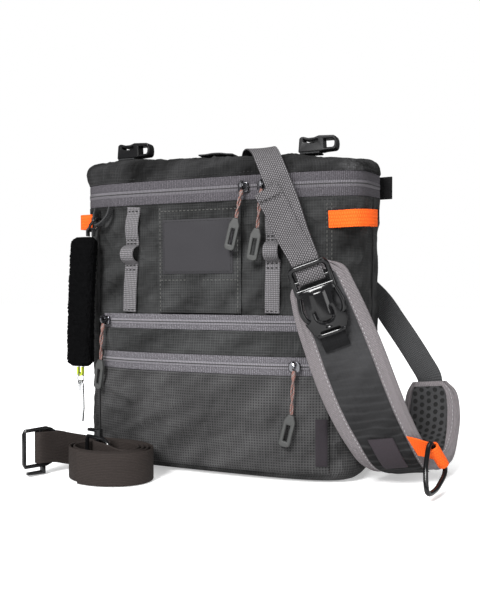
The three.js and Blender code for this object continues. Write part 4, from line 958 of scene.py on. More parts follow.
def finish(wire):
    """Turns a function that wires a shader into one that gives a named material, made once.
    It gets the wires and the texture coordinates before its own values, and gives FINISH_INPUTS in order."""

    @functools.wraps(wire)
    def made(name, *values, **settings):
        material = bpy.data.materials.get(name)
        if material is None:
            material = bpy.data.materials.new(name)
            material.use_nodes = True
            wires = Wires(material.node_tree)
            shader = material.node_tree.nodes["Principled BSDF"].inputs
            found = wire(wires, wires.node("ShaderNodeTexCoord").outputs, *values, **settings)
            for key, value in zip(FINISH_INPUTS, found):
                wires.join(value, shader[key])
        return material

    return made


def dim(rgb, share):
    """A colour made darker or lighter"""
    return tuple(min(1.0, c * share) for c in rgb)


CLOTH_GLEAM = 0.14
# Pitch of the painted highlights on the pad panel's cross wrinkles
PAINTED_WRINKLE_PITCH = 0.0066


def lower_cloth(w, where, shade, line_rgb, rgb, height):
    """A second colour below a height: the shade, the thread lines' colour and their strength"""
    mask = w.calc("LESS_THAN", w.split(where["Object"])[2], height)
    line_rgb = w.blend(mask, line_rgb, dim(rgb, 2.3))
    return w.blend(mask, shade, rgb), line_rgb, w.calc("MULTIPLY_ADD", mask, 0.5, 0.4)


def corner_highlight_cloth(w, where, cloud, shade, rgb, start):
    """A shade with a painted highlight in flecks at the front, to the right of a place"""
    x, y, _ = w.split(where["Object"])
    beyond = w.ranged(x, start, start + 0.02)
    fleck = w.calc("MULTIPLY_ADD", cloud["Crumple"], 4.0, -1.6)
    highlight_flecks = w.calc("MULTIPLY", w.calc("MULTIPLY", beyond, w.calc("LESS_THAN", y, 0.0)), fleck)
    return w.blend(highlight_flecks, shade, dim(rgb, 4.0))


def painted_run_shade(w, where, cloud, rgb, first, last, run):
    """Painted shade that changes along a run, lit at its start and shaded further on, with painted highlights
    on cross wrinkles further along
    """
    u = w.split(where["UV"])[0]
    along = w.calc("MINIMUM", w.calc("DIVIDE", u, run), 1.0)
    shade = w.blend(along, dim(rgb, first), dim(rgb, last))
    phase = w.calc("MULTIPLY_ADD", u, 2 * math.pi / PAINTED_WRINKLE_PITCH, w.calc("MULTIPLY", cloud["Fold"], 6.0))
    # Painted highlights on the cross wrinkles, stronger further along
    ridge = w.calc("POWER", w.calc("MULTIPLY_ADD", w.calc("SINE", phase), 0.5, 0.5), 4.0)
    return w.blend(w.calc("MULTIPLY", ridge, w.calc("MULTIPLY", along, 0.5)), shade, dim(rgb, 1.7))


@finish
def cloth_finish(
    w, where, rgb, lines=1.35, line=0.36, coarse=0.35, crease=1.0, slubs=0.3, fold=4.0, deep=0.3,
    low=None, worn=None, fade=None,
):
    """Ripstop cloth: paler thread lines, slubs and cloudy shade, with creases and fine threads in the bump,
    and painted shade in the fold valleys with painted highlight on the fold ridges, as strong as deep gives.
    low gives a second colour and the height below which the cloth has it, worn the x beyond which a
    painted highlight lies on it in flecks, and fade two painted shades, lit at the start and shaded further
    on, and the run between them, with painted highlights on cross wrinkles and no thread lines."""
    grid = ripstop(w, where["UV"], Pitch=sizes().ripstop_pitch, Line=line)
    cloud = worn_cloth(w, where["Object"], Scale=24.0)
    # Painted shade in the fold valleys and painted highlight on the fold ridges, as strong as deep gives,
    # laid into the slub colour
    painted_fold_shade = w.ranged(cloud["Fold"], 0.72, 1.28, -0.5 * deep, 0.5 * deep, ease="LINEAR")
    spread = w.calc("MULTIPLY_ADD", grid["Slub"], 3.0, -1.0)
    spread = w.calc("ADD", spread, w.calc("DIVIDE", painted_fold_shade, slubs))
    slub = w.blend(spread, (1 - slubs,) * 3, (1 + slubs,) * 3, clamp=False)
    shade = w.blend(cloud["Shade"], dim(rgb, 0.7), dim(rgb, 1.3))
    line_rgb, strength = dim(rgb, lines), 0.8
    if low:
        shade, line_rgb, strength = lower_cloth(w, where, shade, line_rgb, *low)
    # Painted highlight in flecks on the front right corner
    if worn:
        shade = corner_highlight_cloth(w, where, cloud, shade, rgb, worn)
    # fade paints the cloth lit at the start of its run and shaded further on
    if fade:
        shade, strength = painted_run_shade(w, where, cloud, rgb, *fade), 0.0
    threads = w.blend(w.calc("MULTIPLY", grid["Lines"], strength), shade, line_rgb)
    tint = w.blend(1.0, threads, slub, mode="MULTIPLY")
    rough = w.calc("MULTIPLY_ADD", cloud["Crumple"], 0.16, 0.77)
    height = w.calc("ADD", w.calc("MULTIPLY", grid["Lines"], 0.4), w.calc("MULTIPLY", grid["Threads"], 0.12))
    height = w.calc("MULTIPLY_ADD", cloud["Crease"], 3.2 * crease, height)
    height = w.calc("MULTIPLY_ADD", cloud["Fold"], fold, height)
    height = w.calc("MULTIPLY_ADD", cloud["Crumple"], 5.0 * coarse, height)
    return tint, rough, w.bump(height, 0.8, 0.0004), CLOTH_GLEAM


@finish
def webbing_finish(w, where, rgb, along, across, gap, shift=0.5):
    """Webbing: knuckles of the weave raised, the gaps between them darker"""
    weave = webbing_weave(w, where["UV"], Along=along, Across=across, Shift=shift)
    cloud = worn_cloth(w, where["Object"], Scale=60.0)
    thread = w.blend(cloud["Shade"], dim(rgb, 0.85), dim(rgb, 1.18))
    tint = w.blend(weave["Gap"], thread, dim(rgb, gap))
    rough = w.calc("MULTIPLY_ADD", weave["Gap"], 0.12, 0.75)
    return tint, rough, w.bump(weave["Height"], 0.9, 0.0005), CLOTH_GLEAM


@finish
def ribbed_finish(w, where, rgb, pitch, turn=0.0, depth=0.0003, contrast=0.7, rough=0.8):
    """Cloth or tape with fine even ribs, turned by an angle on its surface"""
    turned = w.node("ShaderNodeMapping", {"Vector": where["UV"], "Rotation": (0, 0, turn)})
    rib = ribs(w, turned.outputs[0], Pitch=pitch)["Height"]
    cloud = worn_cloth(w, where["Object"], Scale=45.0)
    base = w.blend(cloud["Shade"], dim(rgb, 0.84), dim(rgb, 1.16))
    fleck = w.calc("MULTIPLY_ADD", w.noise(where["UV"], 900.0, 1.0), 2.4, -0.7)
    tint = w.blend(w.calc("MULTIPLY", rib, fleck), dim(rgb, contrast), base)
    rough = w.calc("MULTIPLY_ADD", cloud["Crumple"], 0.12, rough - 0.06)
    height = w.calc("MULTIPLY_ADD", cloud["Crumple"], 0.5, rib)
    return tint, rough, w.bump(height, 0.7, depth), CLOTH_GLEAM


@finish
def zip_finish(w, where, rgb):
    """Zip coil: ribs of the turns on both sides of a dark meeting line"""
    rib = ribs(w, where["UV"], Pitch=sizes().tooth_pitch)["Height"]
    middle = w.calc("LESS_THAN", w.calc("ABSOLUTE", w.split(where["UV"])[1]), 0.00042)
    teeth = w.blend(rib, dim(rgb, 0.42), dim(rgb, 1.05))
    tint = w.blend(middle, teeth, dim(rgb, 0.10))
    rough = w.calc("MULTIPLY_ADD", rib, -0.12, 0.62)
    return tint, rough, w.bump(w.calc("SUBTRACT", rib, w.calc("MULTIPLY", middle, 1.5)), 0.8, 0.0005)


@finish
def moulded_finish(w, where, rgb, rough, metal=0.0, grain=0.35, gleam=0.5):
    """Moulded or plated piece: faint grain, and scuffs that change its gloss"""
    cloud = worn_cloth(w, where["Object"], Scale=180.0)
    tint = w.blend(cloud["Shade"], dim(rgb, 0.85), dim(rgb, 1.2))
    rough = w.calc("MULTIPLY_ADD", cloud["Crumple"], 0.2, rough - 0.08)
    return tint, rough, w.bump(cloud["Crumple"], 0.2 * grain, 0.0002), gleam, metal


@finish
def cord_finish(w, where, rgb):
    """Braided cord: slanted ribs with a pale fleck and a pink fleck"""
    u, v, _ = w.split(where["UV"])
    twist = w.calc("SINE", w.calc("MULTIPLY", w.calc("ADD", u, v), 3600.0))
    cross = w.calc("SINE", w.calc("MULTIPLY", w.calc("SUBTRACT", u, v), 1500.0))
    body = w.blend(w.calc("GREATER_THAN", cross, 0.2), (0.19, 0.17, 0.165), rgb)
    tint = w.blend(w.calc("MULTIPLY_ADD", twist, 0.5, 0.5), dim(rgb, 0.5), body)
    return tint, 0.75, w.bump(twist, 0.6, 0.0002)


@finish
def fleece_finish(w, where, rgb):
    """Deep black fleece: matt, with clumps in its shade and bump"""
    cloud = worn_cloth(w, where["Object"], Scale=260.0)
    tint = w.blend(cloud["Shade"], dim(rgb, 0.5), dim(rgb, 1.4))
    return tint, 0.98, w.bump(w.calc("ADD", cloud["Shade"], cloud["Crumple"]), 0.9, 0.0009), 0.02


@finish
def mesh_finish(w, where, rgb):
    """Spacer mesh: round dark holes between black threads"""
    hole = round_holes(w, where["UV"], Pitch=sizes().mesh_pitch)["Hole"]
    cloud = worn_cloth(w, where["Object"], Scale=120.0)
    base = w.blend(cloud["Shade"], dim(rgb, 1.3), dim(rgb, 3.5))
    tint = w.blend(hole, base, dim(rgb, 0.25))
    rough = w.calc("MULTIPLY_ADD", hole, 0.2, 0.75)
    return tint, rough, w.bump(w.calc("SUBTRACT", cloud["Crumple"], hole), 0.7, 0.0006)


def finishes():
    """Every finish of the pack, by name"""
    c = {key: tuple(getattr(colours(), key)) for key in PackColours.__annotations__}
    tape = {"pitch": 0.0015, "contrast": 0.32, "depth": 0.0004}
    tab = {"pitch": 0.0009, "turn": 0.4, "contrast": 0.8, "depth": 0.0001}
    thread = {"rough": 0.8, "grain": 1.0}
    # deep sets the painted shade in fold valleys and the painted highlight on fold ridges
    pocket = {"lines": 2.8, "line": 0.28, "coarse": 0.2, "crease": 0.6, "slubs": 0.22, "deep": 0.38}
    # The lid gets a painted highlight in flecks at its front right corner
    lid = {"lines": 1.6, "crease": 2.0, "coarse": 0.5, "fold": 7.0, "deep": 0.9, "worn": 0.098}
    # The pad panel is painted lit at its top and shaded further down, with painted highlights on its cross
    # wrinkles
    panel = {"coarse": 0.9, "crease": 0.6, "slubs": 0.1, "fade": (1.95, 0.3, 0.15)}
    below = (c["ripstop"], 0.0832)
    return {
        "bag": cloth_finish("bag ripstop", c["charcoal"], lines=1.9, crease=1.8, deep=0.6, low=below),
        "charcoal": cloth_finish("panel ripstop", c["charcoal"], lines=1.9, crease=1.5, deep=0.5),
        "lid": cloth_finish("lid ripstop", c["lid"], **lid),
        "ripstop": cloth_finish("pocket ripstop", c["ripstop"], **pocket),
        "black": cloth_finish("black cloth", c["black"], lines=1.3),
        "tape": ribbed_finish("zip tape", c["zip_grey"], **tape),
        "coil": zip_finish("zip coil", c["zip_grey"]),
        "pale_tape": ribbed_finish("pocket zip tape", c["zip_pale"], **tape),
        "pale_coil": zip_finish("pocket zip coil", c["zip_pale"]),
        "clip": moulded_finish("clip black", c["gloss"], 0.3, grain=0.1, gleam=0.2),
        "chain": webbing_finish("chain webbing", c["web_grey"], 0.0016, 0.0014, gap=0.2, shift=0.0),
        "web": webbing_finish("strap webbing", c["strap_grey"], 0.0022, 0.0014, gap=0.06),
        "rear": webbing_finish("dark webbing", c["strap_dark"], 0.0016, 0.0013, gap=0.45, shift=0.0),
        "border": ribbed_finish("pad border", c["border_grey"], 0.0014, turn=0.9, contrast=0.55),
        "panel": cloth_finish("pad panel", c["panel"], **panel),
        "mesh": mesh_finish("spacer mesh", c["black"]),
        "fleece": fleece_finish("fleece", dim(c["black"], 0.5)),
        "orange": webbing_finish("orange webbing", c["orange"], 0.0018, 0.0026, gap=0.7),
        "belt": ribbed_finish("belt webbing", c["belt_brown"], 0.0012, turn=math.pi / 2, contrast=0.6),
        "gloss": moulded_finish("moulded black", c["gloss"], 0.17, grain=0.1, gleam=0.3),
        "steel": moulded_finish("steel", c["metal"], 0.22, metal=1.0),
        "slider": moulded_finish("slider", c["dark_metal"], 0.18, metal=1.0),
        "cord": cord_finish("braided cord", c["cord_pink"]),
        "pull": moulded_finish("soft pull", c["pull_grey"], 0.55, grain=1.0),
        "label": ribbed_finish("front patch", c["label"], 0.0008, 0.4, 0.0001, contrast=0.85, rough=0.6),
        "tab": ribbed_finish("pad patch", c["patch_violet"], **tab),
        "corner": ribbed_finish("corner tab", c["tab_dark"], **tab),
        "lime": moulded_finish("lime tab", c["lime"], 0.7),
        "thread": moulded_finish("pale thread", c["thread"], **thread),
        "grey_thread": moulded_finish("grey thread", c["bag_thread"], **thread),
        "dark_thread": moulded_finish("dark thread", c["black"], **thread),
    }


# Operators


class CHESTPACK_OT_bag(bpy.types.Operator):
    """Makes the bag's wall and its lid"""

    bl_idname = "chest_pack.bag"
    bl_label = "Bag and lid"

    def execute(self, context):
        show("bag_wall", body_mesh(), "bag", "charcoal", "main_body")
        show("lid_cloth", lid_mesh(), "lid", "charcoal", "lid")
        return {"FINISHED"}


class CHESTPACK_OT_zips(bpy.types.Operator):
    """Makes the tapes and coils of the main zip and of the two pocket zips"""

    bl_idname = "chest_pack.zips"
    bl_label = "Zips"

    def execute(self, context):
        bands = [
            ("main_zip_lower", -ZIP_HALF + GAP / 2, -ZIP_COIL_HALF - 0.06, 0.1, "tape", "zip_grey"),
            ("main_zip_coil", -ZIP_COIL_HALF, ZIP_COIL_HALF, 0.35, "coil", "zip_dark"),
            ("main_zip_upper", ZIP_COIL_HALF + 0.06, ZIP_HALF - GAP / 2, 0.1, "tape", "zip_grey"),
        ]
        for node, low, high, crown, look, slot in bands:
            show(f"{node}_band", zip_band(low, high, crown), look, slot, node)
        wide = {"left": -FRONT_ZIP_HALF, "right": FRONT_ZIP_HALF}
        on_tape = lambda x, z: swell(x, z) + FRONT_TAPE + GAP
        for node, z, half in (("mid_zip", MID_ZIP_Z, MID_ZIP_HALF), ("low_zip", LOW_ZIP_Z, LOW_ZIP_HALF)):
            tape = {**wide, "low": z - half, "high": z + half, "thick": FRONT_TAPE}
            mesh = front_sheet(tape, swell, 160, 12)
            show(f"{node}_tape_cloth", mesh, "pale_tape", "zip_grey", f"{node}_tape")
            coil = {**wide, "low": z - FRONT_COIL_HALF, "high": z + FRONT_COIL_HALF, "thick": FRONT_COIL}
            mesh = front_sheet(coil, on_tape, 160, 8, middle=z)
            show(f"{node}_coil_cloth", mesh, "pale_coil", "zip_dark", f"{node}_coil")
        return {"FINISHED"}


def pocket_folds(x, z):
    """Diagonal creases and soft waves of the pocket's cloth"""
    return creases(x, z, POCKET_FOLDS) + 0.35 * waves(x, z * 1.4, 5, 38.0)


def pocket_relief(box):
    """Folds of the lower pocket as a function of x and z: its creases, and over them the folds of a
    simulated sheet that is held all round"""
    x = np.linspace(box["left"], box["right"], POCKET_COLUMNS + 1)
    z = np.linspace(box["low"], box["high"], POCKET_LEVELS + 1)
    across, up = x[None], z[:, None]
    folds = 0.5 * pocket_folds(across, up) * ease_edges(across, up, box)
    start = front_point(across, up, swell(across, up) + POCKET_WALL + folds)
    from_rim = lambda count: np.minimum(np.arange(count), np.arange(count)[::-1])
    held = np.minimum.outer(from_rim(len(z)), from_rim(len(x))) < 2
    move = -slack_folds("pocket_slack", start, np.arange(0, len(z), 2), 2, held, POCKET_SLACK, closed=False)
    move = within(move, 1.3, 1.1)

    def relief(px, pz):
        """The relief at any points of the box"""
        px, pz = np.broadcast_arrays(px, pz)
        u = np.clip((px - x[0]) / (x[1] - x[0]), 0, POCKET_COLUMNS - 0.001)
        v = np.clip((pz - z[0]) / (z[1] - z[0]), 0, POCKET_LEVELS - 0.001)
        i, k = u.astype(int), v.astype(int)
        low = move[k, i] * (1 - u + i) + move[k, i + 1] * (u - i)
        high = move[k + 1, i] * (1 - u + i) + move[k + 1, i + 1] * (u - i)
        return np.clip(1.1 * pocket_folds(px, pz) + 0.5 * (low * (1 - v + k) + high * (v - k)), -2.2, 2.2)

    return relief


def strip_folds(x, z):
    """Short upright gathers between the two zips"""
    return 0.45 * waves(x, z * 0.35, 12, 15.0) + 0.25 * waves(x, z, 13, 40.0)


class CHESTPACK_OT_pockets(bpy.types.Operator):
    """Makes the pocket fronts, the centre panel, the bare front patch and the corner tab"""

    bl_idname = "chest_pack.pockets"
    bl_label = "Pockets and panels"

    def execute(self, context):
        wide = {"left": -POCKET_HALF, "right": POCKET_HALF, "thick": POCKET_WALL}
        low = {**wide, "low": POCKET_FOOT, "high": LOW_ZIP_Z - LOW_ZIP_HALF - GAP}
        strip = {**wide, "low": LOW_ZIP_Z + LOW_ZIP_HALF + GAP, "high": MID_ZIP_Z - MID_ZIP_HALF - GAP}
        relief = pocket_relief(low)
        on_bag = lambda x, z: GAP + 0 * x * z
        on_panel = lambda x, z: 2 * GAP + CENTRE["thick"] + 0 * x * z
        on_pocket = lambda x, z: swell(x, z) + POCKET_WALL + GAP + np.maximum(relief(x, z), 0)
        panel_folds = lambda x, z: 0.28 * waves(x, z * 0.6, 41, 30.0)
        patch_folds = lambda x, z: 0.12 * waves(x, z, 44, 26.0)
        mesh = front_sheet(low, swell, POCKET_COLUMNS, POCKET_LEVELS, relief)
        show("lower_pocket_cloth", mesh, "ripstop", "ripstop", "lower_pocket")
        mesh = front_sheet(strip, swell, POCKET_COLUMNS, 20, strip_folds)
        show("pocket_strip_cloth", mesh, "charcoal", "charcoal", "pocket_strip")
        mesh = front_sheet(CENTRE, on_bag, 70, 80, panel_folds)
        show("centre_panel_cloth", mesh, "charcoal", "charcoal", "centre_panel")
        mesh = front_sheet(LABEL, on_panel, 60, 44, patch_folds)
        show("front_patch", mesh, "label", "label", "label_patch")
        mesh = front_sheet(CORNER, on_pocket, 12, 40)
        show("corner_tab_cloth", mesh, "corner", "pull_grey", "corner_tab")
        return {"FINISHED"}


CHAIN_ROWS = np.array(
    [(216.4, 0), (211, 0), (206, 1.6), (199, 2.2), (193, 1.2), (189.5, 0), (185, 0), (183.6, 3.6)]
    + [(181.2, 7), (177.6, 8.2), (173.6, 6.6), (171.4, 3.2), (170.4, 0.2), (164, 0), (150, 0.5), (130, 0)]
)
GEAR_ROWS = np.array(
    [(-84.4, 216.6, 0.4), (-86.5, 210, 1.6), (-91, 205, 3.4), (-97, 202.6, 3.8), (-101, 204.6, 3.4)]
    + [(-101.6, 210, 1.6), (-100.4, 216.6, 0.8)]
)
LID_LOOP_ROWS = np.array([(-14, 0), (-8, 0.2), (-2, 0.9), (5, 1), (11, 0.3), (16, 0)])
LID_LOOP_Y, LID_LOOP_WIDTH = -24.0, 16
CLIP_PLACES = {"left": (-79.0, -22.0, 2.0), "right": (83.0, -11.0, 3.5)}
CLIP_TAB_WIDTH = 13
ZIP_TAB_X, ZIP_TAB_Y, ZIP_TAB_WIDTH, ZIP_TAB_THICK = (117.2, 121.6, 126.6, 131.6), 45.2, 19, 2.4
CHAIN_X = {"left": (-63.6, -68.6), "right": (58.8, 57.4)}


def chain_x(side, z):
    """Where the straight middle of a daisy chain lies at a height"""
    (top_x, low_x), top_z, low_z = CHAIN_X[side], CHAIN_ROWS[0, 0], CHAIN_ROWS[-1, 0]
    return top_x + (low_x - top_x) * (top_z - z) / (top_z - low_z)


def chain_path(side):
    """A daisy chain down the front: sewn flat, then standing off in a loop, then flat again"""
    z, lift = CHAIN_ROWS.T
    return spaced(front_point(chain_x(side, z), z, GAP + CHAIN_THICK / 2 + lift), 150)


def gear_path():
    """The gear loop, a strip on edge that hangs off the front in a U"""
    x, z, off = GEAR_ROWS.T
    return spaced(np.stack([x, front_y(x, z) - GAP - GEAR_WIDTH / 2 - off, z], axis=1), 90)


def side_path(side, sign):
    """A side loop: along the outline at one height, standing off in its middle"""
    u = np.linspace(0, 1, 90)
    lift = SIDE_LIFT * smoothstep(np.sin(np.pi * u), 0.12, 0.75)
    deg = SIDE_FROM[side] + (SIDE_TO[side] - SIDE_FROM[side]) * u
    px, py = outline(deg, taper_inset(SIDE_Z[side]) - GAP - SIDE_THICK / 2 - lift)
    return np.stack([sign * px, py, SIDE_Z[side] + 3 * u], axis=1)


def zip_tab_path(sign):
    """A tab at an end of the main zip, straight outwards"""
    rows = np.array([(x, ZIP_TAB_Y - 0.7 * i, zip_z(40)) for i, x in enumerate(ZIP_TAB_X)])
    return spaced(rows * [sign, 1, 1], 24)


def clip_tab_path(side):
    """The flat tab under a lid clip"""
    x, y, over = CLIP_PLACES[side]
    seat = lid_top(x, y) + over + GAP + CHAIN_THICK / 2
    return spaced(np.array([(x + dx, y, seat) for dx in (-14, -6, 2)]), 20)


def lid_loop_path():
    """The low loop across the top of the lid"""
    x, up = LID_LOOP_ROWS.T
    z = lid_top(x, LID_LOOP_Y) + LID_DOME + GAP + 0.8 + up
    return spaced(np.stack([x, 0 * x + LID_LOOP_Y, z], axis=1), 50)


class CHESTPACK_OT_loops(bpy.types.Operator):
    """Makes the daisy chains and the loops and tabs that are sewn to the bag"""

    bl_idname = "chest_pack.loops"
    bl_label = "Chains, loops and tabs"

    def execute(self, context):
        across, deep, upright = (1, 0, 0), (0, 1, 0), (0, 0, 1)
        for side in CHAIN_X:
            path = chain_path(side)
            web(f"chain_{side}", path, across, CHAIN_WIDTH, CHAIN_THICK, "chain", "web_grey")
        web("gear_loop", gear_path(), deep, GEAR_WIDTH, CHAIN_THICK, "rear", "web_grey")
        for side, sign in (("left", -1), ("right", 1)):
            path = side_path(side, sign)
            web(f"side_loop_{side}", path, upright, SIDE_WIDTH, SIDE_THICK, "orange", "orange")
            path = zip_tab_path(sign)
            web(f"zip_tab_{side}", path, upright, ZIP_TAB_WIDTH, ZIP_TAB_THICK, "black", "black")
            path = clip_tab_path(side)
            web(f"clip_tab_{side}", path, deep, CLIP_TAB_WIDTH, CHAIN_THICK, "rear", "black")
        web("lid_loop", lid_loop_path(), deep, LID_LOOP_WIDTH, CHAIN_THICK, "rear", "black")
        return {"FINISHED"}


def buckle_frame():
    """Middle, down, across and out of the fastened buckle on the top of the pad"""
    middle, half, normal, along = (v[0] for v in pad_frame(BUCKLE_AT))
    across = unit(half)
    return middle + normal * (PANEL_FACE + BUCKLE_HALF) - BUCKLE_ASIDE * across, along, across, normal


WEB_ROWS = np.array(
    [(-2, 53.1, 206), (-1, 53.2, 226), (0, 54, 243), (1.5, 52.4, 255.4), (5, 43, 263.4), (13.5, 23, 266.2)]
    + [(26, -3, 264.9), (38.5, -26, 261.6), (47.8, -42.8, 256.6), (56.6, -57, 246.6), (65, -63.6, 231)]
    + [(74, -66.4, 210), (81.6, -69, 189)]
)
REAR_ROWS = np.array(
    [(97, 53.2, 158), (108, 53.4, 150), (120, 54.6, 138), (132, 54.4, 121), (144, 52.4, 104), (154, 50, 89)]
)
WEB_ROLL = [0, 0, 0, 0.05, 0.2, 0.4, 0.42, 0.34, 0.16, 0.08, 0.03, 0, 0, 0, 0]
TAIL_ASIDE = 10.0
PANEL_FACE = PAD_FACE + PANEL_SEAT + GAP + PANEL_THICK
BUCKLE_AT, BUCKLE_HALF, BUCKLE_ASIDE = 0.15, 4.4, 3
TAB_TURN, TAB_LIFT, TAB_WIDTH, TAB_THICK = 3.5, PAD_FACE + GAP + 0.7, 20, 1.4
TAB_ROWS = [(-7.4, -8.4), (-4, -5.2), (-0.4, -1.4), (2.4, 2), (4.4, 4.2)]
BAR_SIDE, BAR_DOWN, RING_AT, RING_LEAN = 5.9, 5.6, 0.515, 115.0


def shoulder_path(count):
    """The shoulder webbing: up the back, over the lid and down the front to the buckle"""
    at, down, _, out = buckle_frame()
    ends = np.array([at - 31 * down + 0.6 * out, at - 25.6 * down])
    return spaced(np.vstack([WEB_ROWS, ends]), count)


def shoulder_mesh():
    """The shoulder webbing, rolled sideways over the lid and turning to the buckle"""
    share = np.linspace(0, 1, 321)
    roll = np.interp(share, np.linspace(0, 1, len(WEB_ROLL)), WEB_ROLL)
    rolled = np.stack([1 + 0 * roll, 0 * roll, -roll], axis=1)
    reference = rolled * (1 - share)[:, None] + buckle_frame()[2] * share[:, None]
    return strap_mesh(shoulder_path(320), reference, STRAP_WIDTH, STRAP_THICK)


def tail_path():
    """The strap's tail: over the shoulder webbing, a little aside, and down into the buckle"""
    at, down, across, out = buckle_frame()
    step = np.arange(8)[:, None]
    lift = STRAP_THICK + GAP + np.where(step == 0, 1.2, 0.3)
    laid = shoulder_path(32)[24:32] + out * lift - across * TAIL_ASIDE * (1 - step / 8)
    ends = [at + d * down + o * out for d, o in ((-23, 3.6), (-17, 3.5), (-14, 1.8), (-13.6, -0.6))]
    return spaced(np.vstack([laid, *ends]), 150)


def anchor_path():
    """The short strap from the buckle's foot to the pad, where it is sewn"""
    at, down, across, out = buckle_frame()
    foot, _, normal, _ = (v[0] for v in pad_frame(0.27))
    end = foot + normal * (PANEL_FACE + 1.1) - BUCKLE_ASIDE * across
    start = [at + d * down + o * out for d, o in ((25.6, 0), (29, -1.2), (33, -2.4))]
    return spaced(np.array([*start, end]), 60)


def rear_mesh():
    """The rear webbing: from the back of the bag to the pad's lower end, turning to the pad"""
    seat = lambda t, n: pad_frame(t)[0][0] + pad_frame(t)[2][0] * (PAD_FACE + GAP + n)
    ends = [seat(0.995, 1.6) + [0, 0, 4], seat(0.96, 1.2), seat(0.92, 1.2)]
    share = np.minimum(1, np.linspace(0, 22 / 17, 181))[:, None]
    reference = np.array([0.8, 0, 0.6]) * (1 - share) + unit(pad_frame(0.96)[1][0]) * share
    return strap_mesh(spaced(np.vstack([REAR_ROWS, ends]), 180), reference, STRAP_WIDTH, STRAP_THICK)


def ring_tab_mesh():
    """The orange tab: flat on the pad, then most of a turn round the net ring's bar"""
    ring = ring_frame()
    flat = [ring["at"](w, d, TAB_LIFT) for w, d in TAB_ROWS]
    a = np.radians(27 * np.arange(12) - 90)
    rise = TAB_LIFT + TAB_TURN * (1 + np.sin(a))
    loop = [ring["at"](BAR_SIDE + TAB_TURN * np.cos(k), BAR_DOWN, n) for k, n in zip(a, rise)]
    return strap_mesh(spaced(np.array(flat + loop), 130), ring["along"], TAB_WIDTH, TAB_THICK, skew=True)


def tail_mesh():
    """The strap's tail: the flat section of a strap, thicker over its folded first 8 mm"""
    path = tail_path()
    _, _, across, out = buckle_frame()
    _, side, normal = strap_frames(path, across)
    run = run_length(path)
    thick = STRAP_THICK + 1.3 * (1 - smoothstep(run, 7.0, 8.6))
    w, t = SECTION[:, 0] * (STRAP_WIDTH - 0.6) / 2, SECTION[:, 1]
    rise = (t[None] + 1) * thick[:, None] / 2 - STRAP_THICK / 2
    outward = np.where(np.sum(normal * out, axis=1) < 0, -1.0, 1.0)[:, None]
    rings = path[:, None] + side[:, None] * w[None, :, None] + (normal * outward)[:, None] * rise[..., None]
    return lofted(rings, texture_places(run[:, None], np.append(w, w[0])[None]))


class CHESTPACK_OT_strap(bpy.types.Operator):
    """Makes the shoulder webbing, its tail, the anchor, the rear webbing and the ring's tab"""

    bl_idname = "chest_pack.strap"
    bl_label = "Strap webbing"

    def execute(self, context):
        anchor = strap_mesh(anchor_path(), buckle_frame()[2], STRAP_WIDTH - 1, STRAP_THICK)
        show("shoulder_web", shoulder_mesh(), "web", "web_grey", "shoulder_webbing")
        show("tail_web", tail_mesh(), "web", "web_grey", "webbing_tail")
        show("anchor_web", anchor, "black", "black", "buckle_anchor")
        show("rear_web", rear_mesh(), "rear", "web_grey", "rear_webbing")
        show("ring_tab_web", ring_tab_mesh(), "orange", "orange", "ring_tab")
        return {"FINISHED"}


def ring_frame():
    """Frame of the net ring's tab at the pad's edge: a place is so far sideways, down the pad and outwards"""
    middle, half, normal, along = (v[0] for v in pad_frame(RING_AT))
    side = unit(half - along * np.dot(half, along))
    edge = middle + half
    lean = math.radians(RING_LEAN)
    return {
        "along": along,
        "hang": math.cos(lean) * side + math.sin(lean) * normal,
        "at": lambda w, d, n: edge + side * w + along * d + normal * n,
    }


def border_section(t):
    """Section of the pad: flat foam with full round edges, and a piped ridge along each edge"""
    a = np.linspace(0, 2 * np.pi, 112, endpoint=False)
    w = signed_power(np.cos(a), 0.42)
    bell = lambda middle, width: np.exp(-(((np.abs(w) - middle) / width) ** 2))
    ridge = 0.75 * bell(0.87, 0.032) - 0.5 * bell(0.79, 0.03)
    n = PAD_FACE * signed_power(np.sin(a), 0.5) + ridge * np.sign(np.sin(a))
    return np.broadcast_to(w, (len(t), len(a))), np.broadcast_to(n, (len(t), len(a)))


def layer_section(share, seat, thick, sign, relief, shift=None):
    """Section of a thin layer on one face of the pad: a flat band with a rounded rim, raised by the relief.
    Its half width, share, and its place across, shift, may change along the pad."""
    u = np.linspace(-1, 1, 41)
    top = thick * (1 - np.abs(u) ** 14 * 0.6)

    def section(t):
        half = (share(t) if callable(share) else share) + 0 * t
        w = half * u[None] + (shift(t) if shift else 0.0)
        high = sign * (seat + top[None] + relief(t, w))
        low = sign * (seat + 0 * w)
        return np.concatenate([w, w[:, ::-1]], axis=1), np.concatenate([high, low[:, ::-1]], axis=1)

    return section


def panel_share(t):
    """Half width of the pad's panel, which ends in a round top"""
    near = np.clip((PANEL_TOP + PANEL_ARCH - t) / PANEL_ARCH, 0, 1)
    return PANEL_SHARE * np.sqrt(np.maximum(1 - near**2, 0.06))


def wrinkles(share, w):
    """Cross wrinkles of the pad's panel, closer and deeper where the pad bends"""
    run = share * 300.0
    bend = smoothstep(share, 0.2, 0.5)
    line = np.sin(run / (1.9 - 0.5 * bend) + 0.8 * np.sin(w * 5 + run / 13.0))
    pebble = 0.14 * waves(run, w * 24, 18, 3.4) * (1 - bend)
    rib = 0.3 * line * (0.15 + 0.85 * bend) * smoothstep(0.6 - np.abs(w), 0, 0.15)
    return rib + pebble + 0.25 * waves(run, w * 20, 8, 22.0)


